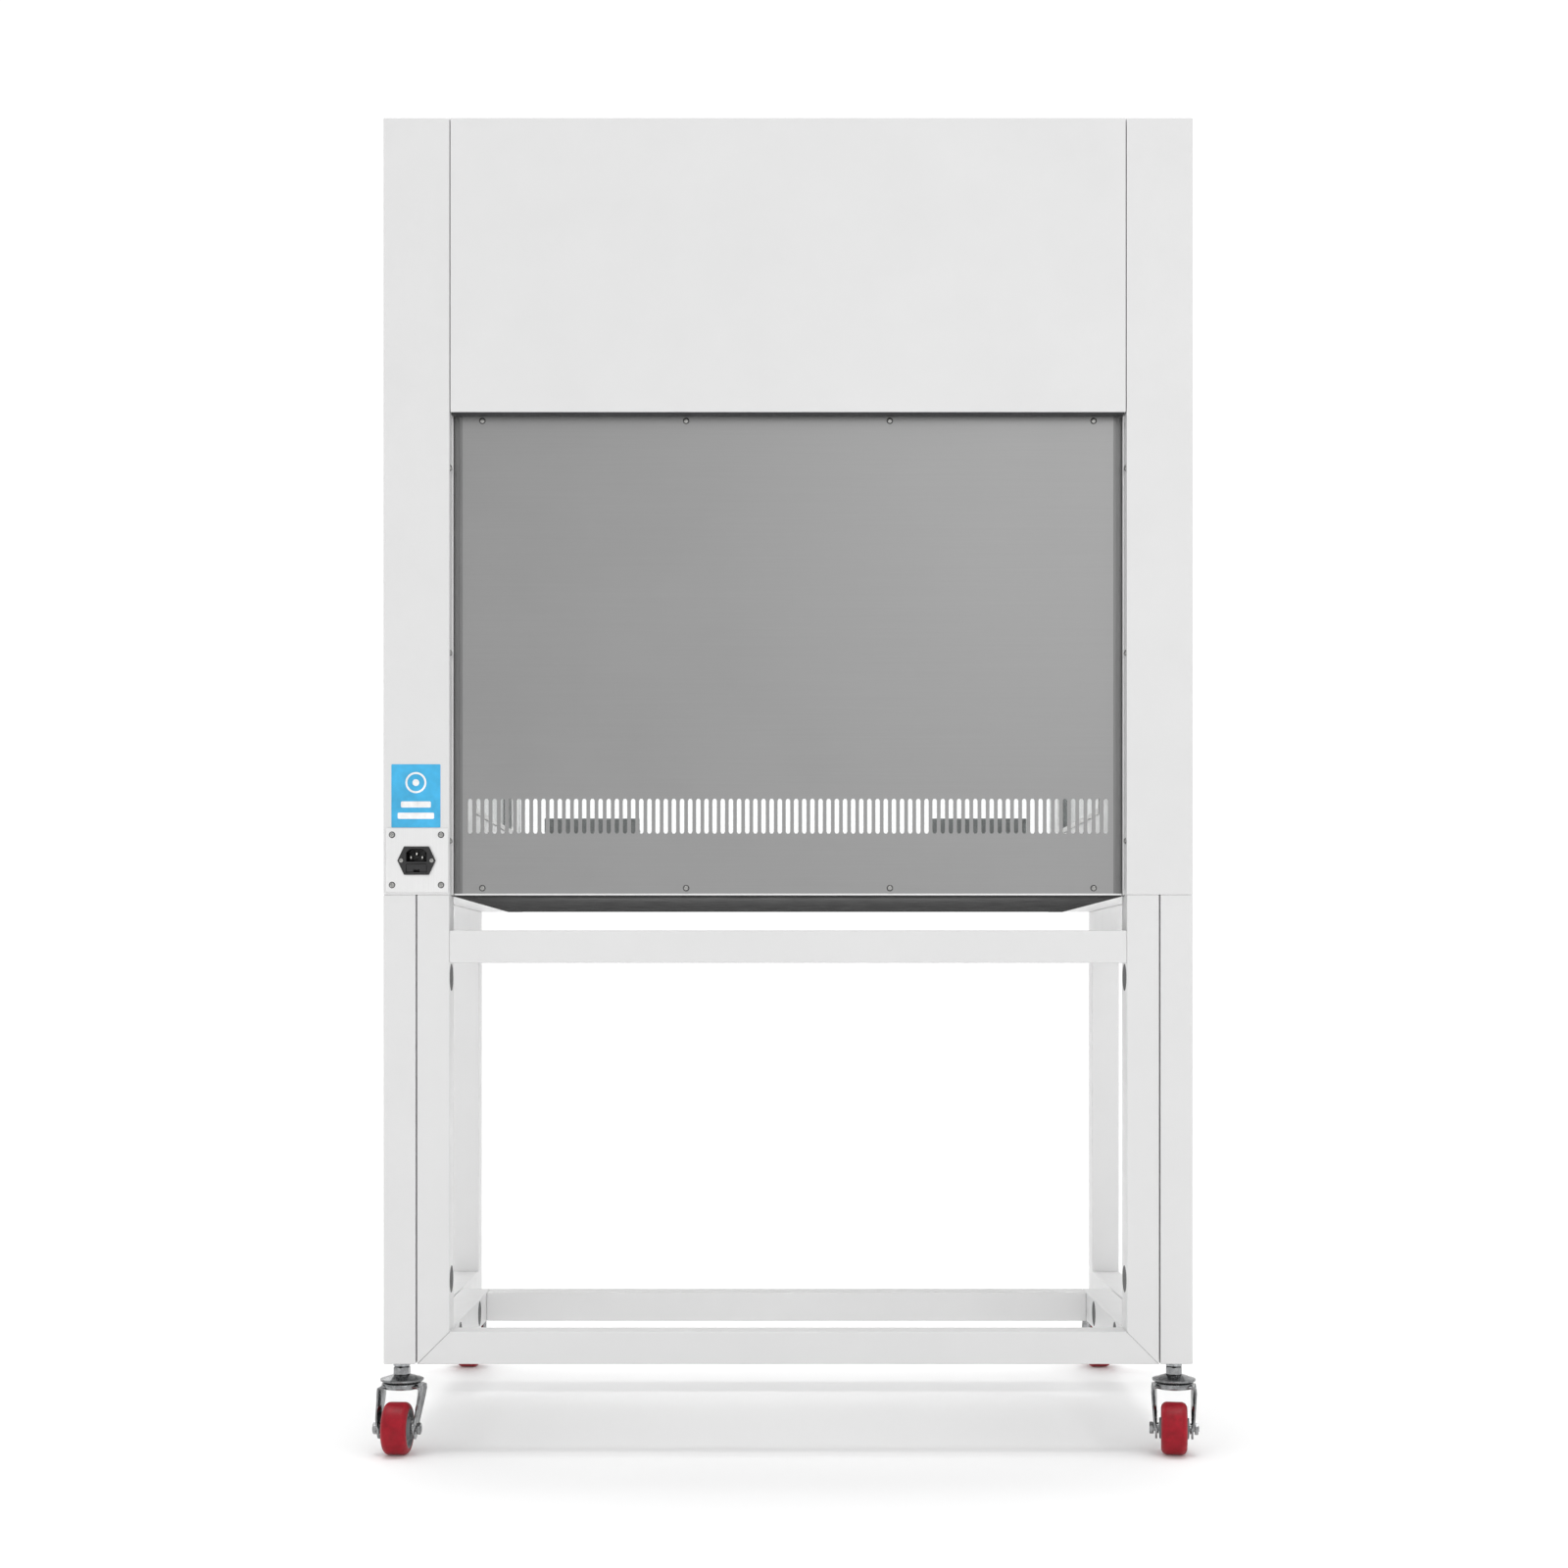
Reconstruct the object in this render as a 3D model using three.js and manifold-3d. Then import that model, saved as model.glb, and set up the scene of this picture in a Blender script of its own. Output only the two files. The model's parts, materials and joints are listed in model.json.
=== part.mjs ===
// A vertical-flow clean-air hood on a wheeled stand of square tube.
// Millimetres, +Z up. The origin is on the floor under the middle of the hood.
// -Y is the rear, with the slotted panel and the mains inlet; +Y is the working side, with the sash.
import * as THREE from "three";
import { mergeVertices } from "three/addons/utils/BufferGeometryUtils.js";
import Module from "manifold-3d";

// Overall sizes
const WIDTH = 1000;
const DEPTH = 650;
const HEIGHT = 1650;
const STAND_TOP = 690;
const FRAME_BOTTOM = 110;
const SHEET = 1.5;
const CONTACT_GAP = 0.3;

// Stand
const TUBE = 40;
const FRAME_GAP = 1.5;
const LEG_PLUG = 6;
const UPPER_RAIL_TOP = 646;
const FOOT_RAIL_START = 46;
const ACCESS_HOLE_RADIUS = 17;
const LEG_HOLE_HEIGHTS = [213, 588];
const BASE_HOLE_PLACES = [-223, -29];
const BASE_HOLE_HEIGHT = 131;

// Casters
const WHEEL_RADIUS = 32.5;
const WHEEL_SIDES = 24;
const TREAD_HALF = 16.4;
const HUB_HALF = 18.3;
const CASTER_TRAIL = 27;
const AXLE_RADIUS = 4;
const AXLE_HALF = 30.5;
const STEM_RADIUS = 6;
const NUT_FLATS = 19;
const DISC_RADIUS = 27;
const CASTERS = {
  rear_left: { side: -1, end: -1, swivel: -3 },
  rear_right: { side: 1, end: -1, swivel: -9 },
  front_left: { side: -1, end: 1, swivel: 2 },
  front_right: { side: 1, end: 1, swivel: 9 },
};

// Cabinet
const OPENING_HALF = 418.4;
const CHAMBER_HALF = 400;
const OPENING_TOP = 1286.5;
const SEAM = 1;
const RECESS = 19;
const GROOVE_DEPTH = 6.5;
const PANEL_HALF = 408;
const SURFACE_TOP = 760;
const SILL_TOP = 795;
const WINDOW_BOTTOM = 798;
const WINDOW_TOP = 1248;
const WINDOW_HALF = 215;
const GLASS = 5;
const COVER_DEPTH = 27;
const INTAKE_SLOTS = 14;
const INTAKE_PITCH = 30;
const INTAKE_HALF_WIDTH = 8;
const INTAKE_HALF_LENGTH = 110;
const SKIRT_DEPTH = 25;
const PAN_DEPTH = 42;

// Slots in the rear panel
const SLOT_COUNT = 79;
const SLOT_PITCH = 10.135;
const SLOT_WIDTH = 5.5;
const SLOT_BOTTOM = 766.5;
const SLOT_TOP = 810.5;

// Sash
const SASH_REAR = 292.5;
const SASH_BOTTOM = 796;
const SASH_TOP = 1312;
const SASH_HALF = 407;
const GUIDE_CLEARANCE = 3.5;
const GUIDE_TOP = 1643;
const HANDLE_CENTRE = 291;
const HANDLE_WIDTH = 143;
const HANDLE_BOTTOM = 806;
const HANDLE_TOP = 830;
const COUNTERWEIGHT = { x: [430, 470], y: [250, 280], z: [1310, 1600] };

// Fan and filter
const DECK_BOTTOM = 1370;
const FILTER_BOTTOM = 1300;
const FILTER_FRONT = 280;
const FILTER_REAR = -290;
const PLEATS = 26;
const PLEAT_DEPTH = 44;
const PLEAT_SHEET = 2;
const FILTER_WALL = 12;
const FILTER_GAP = 5;
const DIFFUSER_SLITS = 22;
const DIFFUSER_PITCH = 34;
const DIFFUSER_Y = [-250, 240];
const FAN_HEIGHT = 1518;
const FAN_HALF = 80;
const IMPELLER_RADIUS = 84;
const IMPELLER_HALF = 55;
const BLADES = 22;
const MOTOR_RADIUS = 38;
const SHAFT_RADIUS = 6;
const SCROLL = { start: -40, step: 15, points: 19, radius: 98, growth: 1.35 };
const SCROLL_SHEET = 2;
const DECK_HALF = 395;
const EYE_RADIUS = 70;
const MOTOR_ENDS = [-95, 20];
const SHAFT_ENDS = [18, 50];
const MOTOR_BRACKET = { x: [-101, -93], half: 44 };
const BLADE = { radii: [68, 82], half: 0.8 };
const LAMP_CASE = { half: 300, y: [250, 284], bottom: 1266 };
const LAMP_TUBE = { radius: 11, half: 285, centre: [267, 1262] };

// Mains inlet
const INLET_X = -458.5;
const INLET_Z = 732;
const INLET_PLATE = { x: [-497, -419.5], z: [693, 772] };
const SOCKET_WIDTH = 25.5;
const FLANGE = { thick: 3, half: 15.3, reach: 23.5, height: 17.5 };
const INLET_BODY = { half: 15, height: 16, back: 24 };
const DRAWER = { low: -14.5, high: -4, gap: 0.4, back: 18 };
const PINS = [[-7, 4], [7, 4], [0, 8.5]];

// Control panel
const PANEL_Z = 1460;
const BUTTON_RADIUS = 8;
const PANEL_PLATE = { half: 150, height: 36, thick: 3 };
const FASCIA_WINDOW = { half: 140, height: 28 };
const BUTTON_PLACES = { power_button: -90, fan_button: 60, light_button: 100 };

const REAR = -DEPTH / 2;
const FRONT = DEPTH / 2;
const SIDE = WIDTH / 2;
const AXLE_HEIGHT = WHEEL_RADIUS * Math.cos(Math.PI / WHEEL_SIDES);
const INNER_FRAME = SIDE - TUBE - FRAME_GAP;
const FASCIA_BACK = SASH_REAR + GLASS + GUIDE_CLEARANCE;

const wasm = await Module();
wasm.setup();

// ---- Shapes and booleans ----

function solidOf(geometry) {
  const bare = geometry.index ? geometry.toNonIndexed() : geometry.clone();
  bare.deleteAttribute("normal");
  bare.deleteAttribute("uv");
  const merged = mergeVertices(bare, 1e-4);
  return new wasm.Manifold(
    new wasm.Mesh({
      numProp: 3,
      vertProperties: merged.attributes.position.array,
      triVerts: new Uint32Array(merged.index.array),
    }),
  );
}

function geometryOf(solid) {
  const mesh = solid.getMesh();
  const geometry = new THREE.BufferGeometry();
  geometry.setAttribute("position", new THREE.BufferAttribute(mesh.vertProperties, 3));
  geometry.setIndex(new THREE.BufferAttribute(mesh.triVerts, 1));
  geometry.computeVertexNormals();
  return geometry;
}

function join(...geometries) {
  return geometryOf(wasm.Manifold.union(geometries.map(solidOf)));
}

function cut(geometry, ...tools) {
  return geometryOf(solidOf(geometry).subtract(wasm.Manifold.union(tools.map(solidOf))));
}

function overlap(first, second) {
  return geometryOf(solidOf(first).intersect(solidOf(second)));
}

// A box between two values on each axis, in either order.
function block([x0, x1], [y0, y1], [z0, z1]) {
  const geometry = new THREE.BoxGeometry(Math.abs(x1 - x0), Math.abs(y1 - y0), Math.abs(z1 - z0));
  return geometry.translate((x0 + x1) / 2, (y0 + y1) / 2, (z0 + z1) / 2);
}

// The plane that each prism's outline is drawn in: (y, z) along x, (z, x) along y, (x, y) along z.
const X = new THREE.Vector3(1, 0, 0);
const Y = new THREE.Vector3(0, 1, 0);
const Z = new THREE.Vector3(0, 0, 1);
const PLANES = {
  x: new THREE.Matrix4().makeBasis(Y, Z, X),
  y: new THREE.Matrix4().makeBasis(Z, X, Y),
  z: new THREE.Matrix4(),
};

function prism(axis, outline, from, to) {
  const shape = new THREE.Shape(outline.map(([u, v]) => new THREE.Vector2(u, v)));
  const geometry = new THREE.ExtrudeGeometry(shape, { depth: to - from, bevelEnabled: false });
  return geometry.translate(0, 0, from).applyMatrix4(PLANES[axis]);
}

// Points on an arc, in degrees, both ends included.
function arc(u, v, radius, from, to, steps) {
  return Array.from({ length: steps + 1 }, (_, i) => {
    const angle = THREE.MathUtils.degToRad(from + ((to - from) * i) / steps);
    return [u + radius * Math.cos(angle), v + radius * Math.sin(angle)];
  });
}

function rod(axis, radius, from, to, centre = [0, 0], sides = 24) {
  const half = 180 / sides;
  return prism(axis, arc(...centre, radius, half, 360 - half, sides - 1), from, to);
}

function hexNut(axis, flats, from, to, centre = [0, 0]) {
  return rod(axis, flats / 2 / Math.cos(Math.PI / 6), from, to, centre, 6);
}

// A profile of [radius, height] pairs turned about the Z axis.
function turned(profile, sides) {
  const points = profile.map(([r, h]) => new THREE.Vector2(r, h));
  return new THREE.LatheGeometry(points, sides).rotateX(Math.PI / 2);
}

// ---- Materials ----

function finish(color, roughness, metalness, extra = {}) {
  return new THREE.MeshStandardMaterial({ color, roughness, metalness, ...extra });
}

const white = finish(0xe4e6e7, 0.4, 0.1);
const steel = finish(0x9c9c9a, 0.38, 0.9);
const galvanised = finish(0xa9adb0, 0.5, 0.8);
const chrome = finish(0xb9bcbf, 0.18, 1);
const tread = finish(0xa01c30, 0.42, 0);
const glass = finish(0xdfeaec, 0.05, 0, { transparent: true, opacity: 0.3 });
const black = finish(0x17181a, 0.45, 0);
const castIron = finish(0x4b4d50, 0.7, 0.6);
const paper = finish(0xf2f2ee, 0.9, 0);
const keys = finish(0xd7dade, 0.5, 0);

const hood = new THREE.Group();

function piece(name, geometry, material, parent = hood) {
  const mesh = new THREE.Mesh(geometry, material);
  mesh.name = name;
  parent.add(mesh);
  return mesh;
}

// Calls make once for the left side, with -1, and once for the right, with 1.
function bothSides(make) {
  make("left", -1);
  make("right", 1);
}

// ---- Stand ----

// A hole through the inner wall of a tube, which is at wall on its side of the stand.
function accessHole(wall, side, centre) {
  const ends = [wall * side, (wall + SHEET * 2) * side].sort((a, b) => a - b);
  return rod("x", ACCESS_HOLE_RADIUS, ends[0] - 1, ends[1], centre, 20);
}

// A square tube, open at both ends of its length along the given axis.
function tube(axis, x, y, z) {
  const inset = ([a, b]) => [Math.min(a, b) + SHEET, Math.max(a, b) - SHEET];
  const through = ([a, b]) => [Math.min(a, b) - 1, Math.max(a, b) + 1];
  const bore = [x, y, z].map((range, i) => ("xyz"[i] === axis ? through(range) : inset(range)));
  return cut(block(x, y, z), block(...bore));
}

// An outer leg, with a plug in its foot that takes the caster's stem.
function outerLeg(side, end) {
  const x = [side * (SIDE - TUBE), side * SIDE];
  const y = [end * (FRONT - TUBE), end * FRONT];
  const centre = [side * (SIDE - TUBE / 2), end * (FRONT - TUBE / 2)];
  const inside = [
    [side * (SIDE - TUBE + SHEET), side * (SIDE - SHEET)],
    [end * (FRONT - TUBE + SHEET), end * (FRONT - SHEET)],
    [FRAME_BOTTOM + LEG_PLUG, STAND_TOP + 1],
  ];
  const stemHole = rod("z", STEM_RADIUS + 0.6, FRAME_BOTTOM - 1, FRAME_BOTTOM + 20, centre, 16);
  return cut(block(x, y, [FRAME_BOTTOM, STAND_TOP]), block(...inside), stemHole);
}

// The wedge that a mitre takes off an inner leg's foot, or off the rail that meets it.
function mitre(side, fromLeg) {
  const outer = INNER_FRAME * side;
  const inner = (INNER_FRAME - TUBE) * side;
  const past = 2 * side;
  const line = [
    [FRAME_BOTTOM, outer],
    [FRAME_BOTTOM + TUBE, inner],
  ];
  const rest = fromLeg
    ? [[FRAME_BOTTOM - 2, inner - past], [FRAME_BOTTOM - 2, outer]]
    : [[FRAME_BOTTOM + TUBE + 2, outer + past], [FRAME_BOTTOM, outer + past]];
  return prism("y", [...line, ...rest], REAR - 1, REAR + TUBE + 1);
}

function buildStand() {
  const rearY = [REAR, REAR + TUBE];
  const baseZ = [FRAME_BOTTOM, FRAME_BOTTOM + TUBE];
  const between = [REAR + TUBE, FRONT - TUBE];
  bothSides((name, side) => {
    const outer = [side * (SIDE - TUBE), side * SIDE];
    const inner = [side * (INNER_FRAME - TUBE), side * INNER_FRAME];
    const wall = INNER_FRAME - TUBE;
    piece("leg_rear_" + name, outerLeg(side, -1), white);
    piece("leg_front_" + name, outerLeg(side, 1), white);
    piece("side_rail_top_" + name, tube("y", outer, between, [STAND_TOP - TUBE, STAND_TOP]), white);
    piece("side_rail_bottom_" + name, tube("y", outer, between, baseZ), white);

    const legHoles = LEG_HOLE_HEIGHTS.map((z) => accessHole(wall, side, [REAR + TUBE / 2, z]));
    const innerLeg = tube("z", inner, rearY, [FRAME_BOTTOM, STAND_TOP]);
    piece("inner_leg_" + name, cut(innerLeg, mitre(side, true), ...legHoles), white);

    const baseHoles = BASE_HOLE_PLACES.map((y) => accessHole(wall, side, [y, BASE_HOLE_HEIGHT]));
    const baseRail = tube("y", inner, [REAR + TUBE, FOOT_RAIL_START + TUBE], baseZ);
    piece("base_rail_" + name, cut(baseRail, ...baseHoles), white);
  });
  const span = INNER_FRAME - TUBE;
  const lowerRail = tube("x", [-INNER_FRAME, INNER_FRAME], rearY, baseZ);
  piece("rear_rail_lower", cut(lowerRail, mitre(-1, false), mitre(1, false)), white);
  const upperZ = [UPPER_RAIL_TOP - TUBE, UPPER_RAIL_TOP];
  piece("rear_rail_upper", tube("x", [-span, span], rearY, upperZ), white);
  const footY = [FOOT_RAIL_START, FOOT_RAIL_START + TUBE];
  piece("foot_rail", tube("x", [-span, span], footY, baseZ), white);
}

// ---- Casters ----

// The stem, its two nuts and the domed disc that the fork turns under.
function casterStem() {
  const disc = turned([[0, 87], [DISC_RADIUS, 87], [DISC_RADIUS, 89], [20, 93], [0, 95]], 20);
  return join(
    disc,
    rod("z", STEM_RADIUS, 94, FRAME_BOTTOM + 24, [0, 0], 12),
    hexNut("z", NUT_FLATS, 94.5, 104.5),
    hexNut("z", NUT_FLATS, 105, FRAME_BOTTOM - CONTACT_GAP),
  );
}

// The fork: a folded strip, seen from the front, cut to its outline seen from the side.
function casterFork() {
  const half = [[86.5, 22], [84.5, 26], [80, 27.5], [68, 27.5], [16, 24.4], [16, 21.9], [68, 25], [77, 25]];
  const mirrored = half.map(([z, x]) => [z, -x]).reverse();
  const strip = prism("y", [...half, ...mirrored], -60, 40);
  const foot = arc(-CASTER_TRAIL, AXLE_HEIGHT, 13, -20, -190, 8);
  const outline = prism("x", [[24, 87], [24, 76], ...foot, [-30, 87]], -40, 40);
  const axleHole = rod("x", AXLE_RADIUS + 0.4, -40, 40, [-CASTER_TRAIL, AXLE_HEIGHT], 16);
  return cut(overlap(strip, outline), axleHole);
}

// The axle bolt with its head, its nut and the two spacers beside the hub.
function casterAxle() {
  const centre = [-CASTER_TRAIL, AXLE_HEIGHT];
  const spacer = (from, to) => rod("x", 7, from, to, centre, 12);
  return join(
    rod("x", AXLE_RADIUS, -AXLE_HALF, AXLE_HALF, centre, 12),
    hexNut("x", 13, 26, AXLE_HALF, centre),
    hexNut("x", 13, 1 - AXLE_HALF, -26, centre),
    spacer(HUB_HALF + 0.4, 22),
    spacer(-22, -HUB_HALF - 0.4),
  );
}

function casterWheel() {
  const half = [
    [AXLE_RADIUS + 0.5, HUB_HALF],
    [13, HUB_HALF],
    [15, 15],
    [23, 15],
    [24, TREAD_HALF],
    [29.5, 14.6],
    [WHEEL_RADIUS, 9],
  ];
  const mirrored = half.map(([r, h]) => [r, -h]);
  const wheel = turned([half[0], ...mirrored, ...half.reverse()], WHEEL_SIDES);
  wheel.rotateZ(Math.PI / WHEEL_SIDES).rotateY(Math.PI / 2);
  return wheel.translate(0, -CASTER_TRAIL, AXLE_HEIGHT);
}

function buildCasters() {
  for (const [name, { side, end, swivel }] of Object.entries(CASTERS)) {
    const caster = new THREE.Group();
    caster.position.set(side * (SIDE - TUBE / 2), end * (FRONT - TUBE / 2), 0);
    caster.rotation.z = THREE.MathUtils.degToRad(swivel + (end > 0 ? 180 : 0));
    hood.add(caster);
    piece("caster_stem_" + name, casterStem(), chrome, caster);
    piece("caster_fork_" + name, casterFork(), chrome, caster);
    piece("caster_axle_" + name, casterAxle(), chrome, caster);
    piece("caster_wheel_" + name, casterWheel(), tread, caster);
  }
}

// ---- Cabinet ----

// A hollow side of the cabinet, with a window right through it and a slit that guides the sash.
function sideCasing(side) {
  const step = REAR + RECESS + GROOVE_DEPTH + SHEET + CONTACT_GAP;
  const section = (inset) => {
    const near = (CHAMBER_HALF + inset) * side;
    const far = (SIDE - inset) * side;
    const reveal = (OPENING_HALF + inset) * side;
    const rear = REAR + inset;
    const front = FRONT - inset;
    return [[reveal, rear], [far, rear], [far, front], [near, front], [near, step + inset], [reveal, step + inset]];
  };
  const window = (grow) =>
    block(
      [(CHAMBER_HALF - 1) * side, (SIDE + 1) * side],
      [-WINDOW_HALF - grow, WINDOW_HALF + grow],
      [WINDOW_BOTTOM - grow, WINDOW_TOP + grow],
    );
  const cavity = cut(prism("z", section(SHEET), STAND_TOP + SHEET, HEIGHT - SHEET), window(SHEET));
  const guide = block(
    [(CHAMBER_HALF - 1) * side, (CHAMBER_HALF + SHEET + 1) * side],
    [SASH_REAR - GUIDE_CLEARANCE, SASH_REAR + GLASS + GUIDE_CLEARANCE],
    [SASH_BOTTOM - GUIDE_CLEARANCE, GUIDE_TOP],
  );
  const tools = [cavity, window(0), guide];
  if (side < 0) {
    tools.push(block([INLET_X - 16, INLET_X + 16], [REAR - 1, REAR + SHEET + 1], [INLET_Z - 17, INLET_Z + 17]));
  }
  return cut(prism("z", section(0), STAND_TOP, HEIGHT), ...tools);
}

// The stainless rear panel: folded back at each side into a groove, with a row of upright slots.
function backPanel() {
  const face = REAR + RECESS;
  const edge = OPENING_HALF - 0.5;
  const half = [
    [PANEL_HALF, face],
    [PANEL_HALF, face + GROOVE_DEPTH],
    [edge, face + GROOVE_DEPTH],
    [edge, face + GROOVE_DEPTH + SHEET],
    [PANEL_HALF - SHEET, face + GROOVE_DEPTH + SHEET],
    [PANEL_HALF - SHEET, face + SHEET],
  ];
  const mirrored = half.map(([x, y]) => [-x, y]).reverse();
  const panel = prism("z", [...half, ...mirrored], STAND_TOP, OPENING_TOP - 0.5);
  const radius = SLOT_WIDTH / 2;
  const slots = Array.from({ length: SLOT_COUNT }, (_, i) => {
    const x = (i - (SLOT_COUNT - 1) / 2) * SLOT_PITCH;
    const top = arc(SLOT_TOP - radius, x, radius, -90, 90, 3);
    const bottom = arc(SLOT_BOTTOM + radius, x, radius, 90, 270, 3);
    return prism("y", [...top, ...bottom], face - 1, face + SHEET + 1);
  });
  return cut(panel, ...slots);
}

// A sheet folded to an outline of [y, z] pairs, as wide as the chamber.
function foldedSheet(outline, half = CHAMBER_HALF - 0.5) {
  return prism("x", outline, -half, half);
}

// A channel of sheet, open towards inward, whose face spans two heights.
function coverPanel(face, inward, depth, [low, high], half) {
  const back = face + inward * depth;
  const inner = face + inward * SHEET;
  const outline = [
    [face, low],
    [face, high],
    [back, high],
    [back, high - SHEET],
    [inner, high - SHEET],
    [inner, low + SHEET],
    [back, low + SHEET],
    [back, low],
  ];
  return foldedSheet(outline, half);
}

// The lid between the side casings, with the slots that the fan draws air through.
function topCover() {
  const half = CHAMBER_HALF - 0.5;
  const y = [REAR + COVER_DEPTH + CONTACT_GAP, FASCIA_BACK - CONTACT_GAP];
  const intake = Array.from({ length: INTAKE_SLOTS }, (_, i) => {
    const x = (i - (INTAKE_SLOTS - 1) / 2) * INTAKE_PITCH;
    const width = [x - INTAKE_HALF_WIDTH, x + INTAKE_HALF_WIDTH];
    return block(width, [-INTAKE_HALF_LENGTH, INTAKE_HALF_LENGTH], [HEIGHT - 5, HEIGHT + 5]);
  });
  return cut(block([-half, half], y, [HEIGHT - SHEET, HEIGHT]), ...intake);
}

function workSurface() {
  const rear = REAR + RECESS + SHEET + 0.5;
  const front = FRONT - SHEET - 0.5;
  const skirt = SURFACE_TOP - SKIRT_DEPTH;
  return foldedSheet([
    [rear, skirt],
    [rear, SURFACE_TOP],
    [front, SURFACE_TOP],
    [front, skirt],
    [front - SHEET, skirt],
    [front - SHEET, SURFACE_TOP - SHEET],
    [rear + SHEET, SURFACE_TOP - SHEET],
    [rear + SHEET, skirt],
  ]);
}

function bottomPan() {
  const rear = REAR + RECESS + SHEET + 0.5;
  const front = FRONT - SHEET - 0.5;
  const rim = STAND_TOP + PAN_DEPTH;
  return foldedSheet([
    [rear, rim],
    [rear, STAND_TOP],
    [front, STAND_TOP],
    [front, rim],
    [front - SHEET, rim],
    [front - SHEET, STAND_TOP + SHEET],
    [rear + SHEET, STAND_TOP + SHEET],
    [rear + SHEET, rim],
  ]);
}

// The white apron under the sash, folded over into the sill.
function frontApron() {
  return foldedSheet([
    [FRONT, STAND_TOP],
    [FRONT, SILL_TOP],
    [FASCIA_BACK, SILL_TOP],
    [FASCIA_BACK, SILL_TOP - SHEET],
    [FRONT - SHEET, SILL_TOP - SHEET],
    [FRONT - SHEET, STAND_TOP],
  ]);
}

function frontFascia() {
  const heights = [OPENING_TOP + 2, HEIGHT];
  const sheet = coverPanel(FRONT, -1, FRONT - FASCIA_BACK, heights, CHAMBER_HALF - 0.5);
  const { half, height } = FASCIA_WINDOW;
  return cut(sheet, block([-half, half], [FRONT - 3, FRONT + 1], [PANEL_Z - height, PANEL_Z + height]));
}

// ---- Filter, fan and lamp ----

// The filter's frame round a folded sheet of paper.
function hepaFilter() {
  const half = CHAMBER_HALF - FILTER_GAP;
  const wall = FILTER_WALL;
  const y = [FILTER_REAR, FILTER_FRONT];
  const z = [FILTER_BOTTOM, DECK_BOTTOM - 1];
  const innerY = [FILTER_REAR + wall, FILTER_FRONT - wall];
  const frame = cut(
    block([-half, half], y, z),
    block([-half + wall, half - wall], innerY, [z[0] - 1, z[1] + 1]),
  );
  const pitch = (2 * (half - wall)) / PLEATS;
  const fold = (lift) =>
    Array.from({ length: 2 * PLEATS + 1 }, (_, i) => [
      z[0] + wall + lift + (i % 2 ? PLEAT_DEPTH : 0),
      -half + wall + (i * pitch) / 2,
    ]);
  const media = prism("y", [...fold(0), ...fold(PLEAT_SHEET).reverse()], innerY[0] - 1, innerY[1] + 1);
  return join(frame, media);
}

// The perforated screen under the filter.
function diffuser() {
  const half = CHAMBER_HALF - FILTER_GAP;
  const slits = Array.from({ length: DIFFUSER_SLITS }, (_, i) => {
    const x = (i - (DIFFUSER_SLITS - 1) / 2) * DIFFUSER_PITCH;
    return block([x - 5, x + 5], DIFFUSER_Y, [OPENING_TOP - 5, OPENING_TOP + 5]);
  });
  return cut(block([-half, half], [FILTER_REAR, FILTER_FRONT], [OPENING_TOP, OPENING_TOP + SHEET]), ...slits);
}

// The scroll of the fan as [y, z] pairs, growing round to its outlet through the deck.
function scroll(inset, bottom) {
  const turn = Array.from({ length: SCROLL.points }, (_, i) => {
    const angle = THREE.MathUtils.degToRad(SCROLL.start + SCROLL.step * i);
    const radius = SCROLL.radius + SCROLL.growth * i - inset;
    return [radius * Math.cos(angle), FAN_HEIGHT + radius * Math.sin(angle)];
  });
  const throat = turn[0][0];
  const last = turn[turn.length - 1];
  return [[throat, bottom], ...turn, [last[0], bottom]];
}

function blowerHousing() {
  const deckTop = DECK_BOTTOM + SCROLL_SHEET;
  const shell = prism("x", scroll(0, DECK_BOTTOM + 1), -FAN_HALF, FAN_HALF);
  const deck = block([-DECK_HALF, DECK_HALF], [FILTER_REAR, FILTER_FRONT], [DECK_BOTTOM, deckTop]);
  const inside = FAN_HALF - SCROLL_SHEET;
  const hollow = prism("x", scroll(SCROLL_SHEET, DECK_BOTTOM - 1), -inside, inside);
  const eyes = rod("x", EYE_RADIUS, -FAN_HALF - 1, FAN_HALF + 1, [0, FAN_HEIGHT], 20);
  return cut(join(shell, deck), hollow, eyes);
}

// The motor on its bracket, with the shaft that carries the impeller.
function blowerMotor() {
  const centre = [0, FAN_HEIGHT];
  const { half } = MOTOR_BRACKET;
  return join(
    rod("x", MOTOR_RADIUS, ...MOTOR_ENDS, centre, 16),
    rod("x", SHAFT_RADIUS, ...SHAFT_ENDS, centre, 12),
    block(MOTOR_BRACKET.x, [-half, half], [DECK_BOTTOM + SCROLL_SHEET + CONTACT_GAP, FAN_HEIGHT + half]),
  );
}

function impeller() {
  const centre = [0, FAN_HEIGHT];
  const back = rod("x", IMPELLER_RADIUS, IMPELLER_HALF - 14, IMPELLER_HALF - 11, centre);
  const ring = cut(
    rod("x", IMPELLER_RADIUS, -IMPELLER_HALF, 3 - IMPELLER_HALF, centre),
    rod("x", IMPELLER_RADIUS - 18, -IMPELLER_HALF - 1, 4 - IMPELLER_HALF, centre),
  );
  const blades = Array.from({ length: BLADES }, (_, i) => {
    const blade = block([1 - IMPELLER_HALF, IMPELLER_HALF - 12], BLADE.radii, [-BLADE.half, BLADE.half]);
    return blade.rotateX((i * 2 * Math.PI) / BLADES).translate(0, 0, FAN_HEIGHT);
  });
  const bore = rod("x", SHAFT_RADIUS + 0.4, 0, IMPELLER_HALF, centre, 12);
  return cut(join(back, ring, ...blades), bore);
}

function lamp() {
  const { half, y, bottom } = LAMP_CASE;
  const body = block([-half, half], y, [bottom, OPENING_TOP - 0.5]);
  return join(body, rod("x", LAMP_TUBE.radius, -LAMP_TUBE.half, LAMP_TUBE.half, LAMP_TUBE.centre, 12));
}

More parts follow.
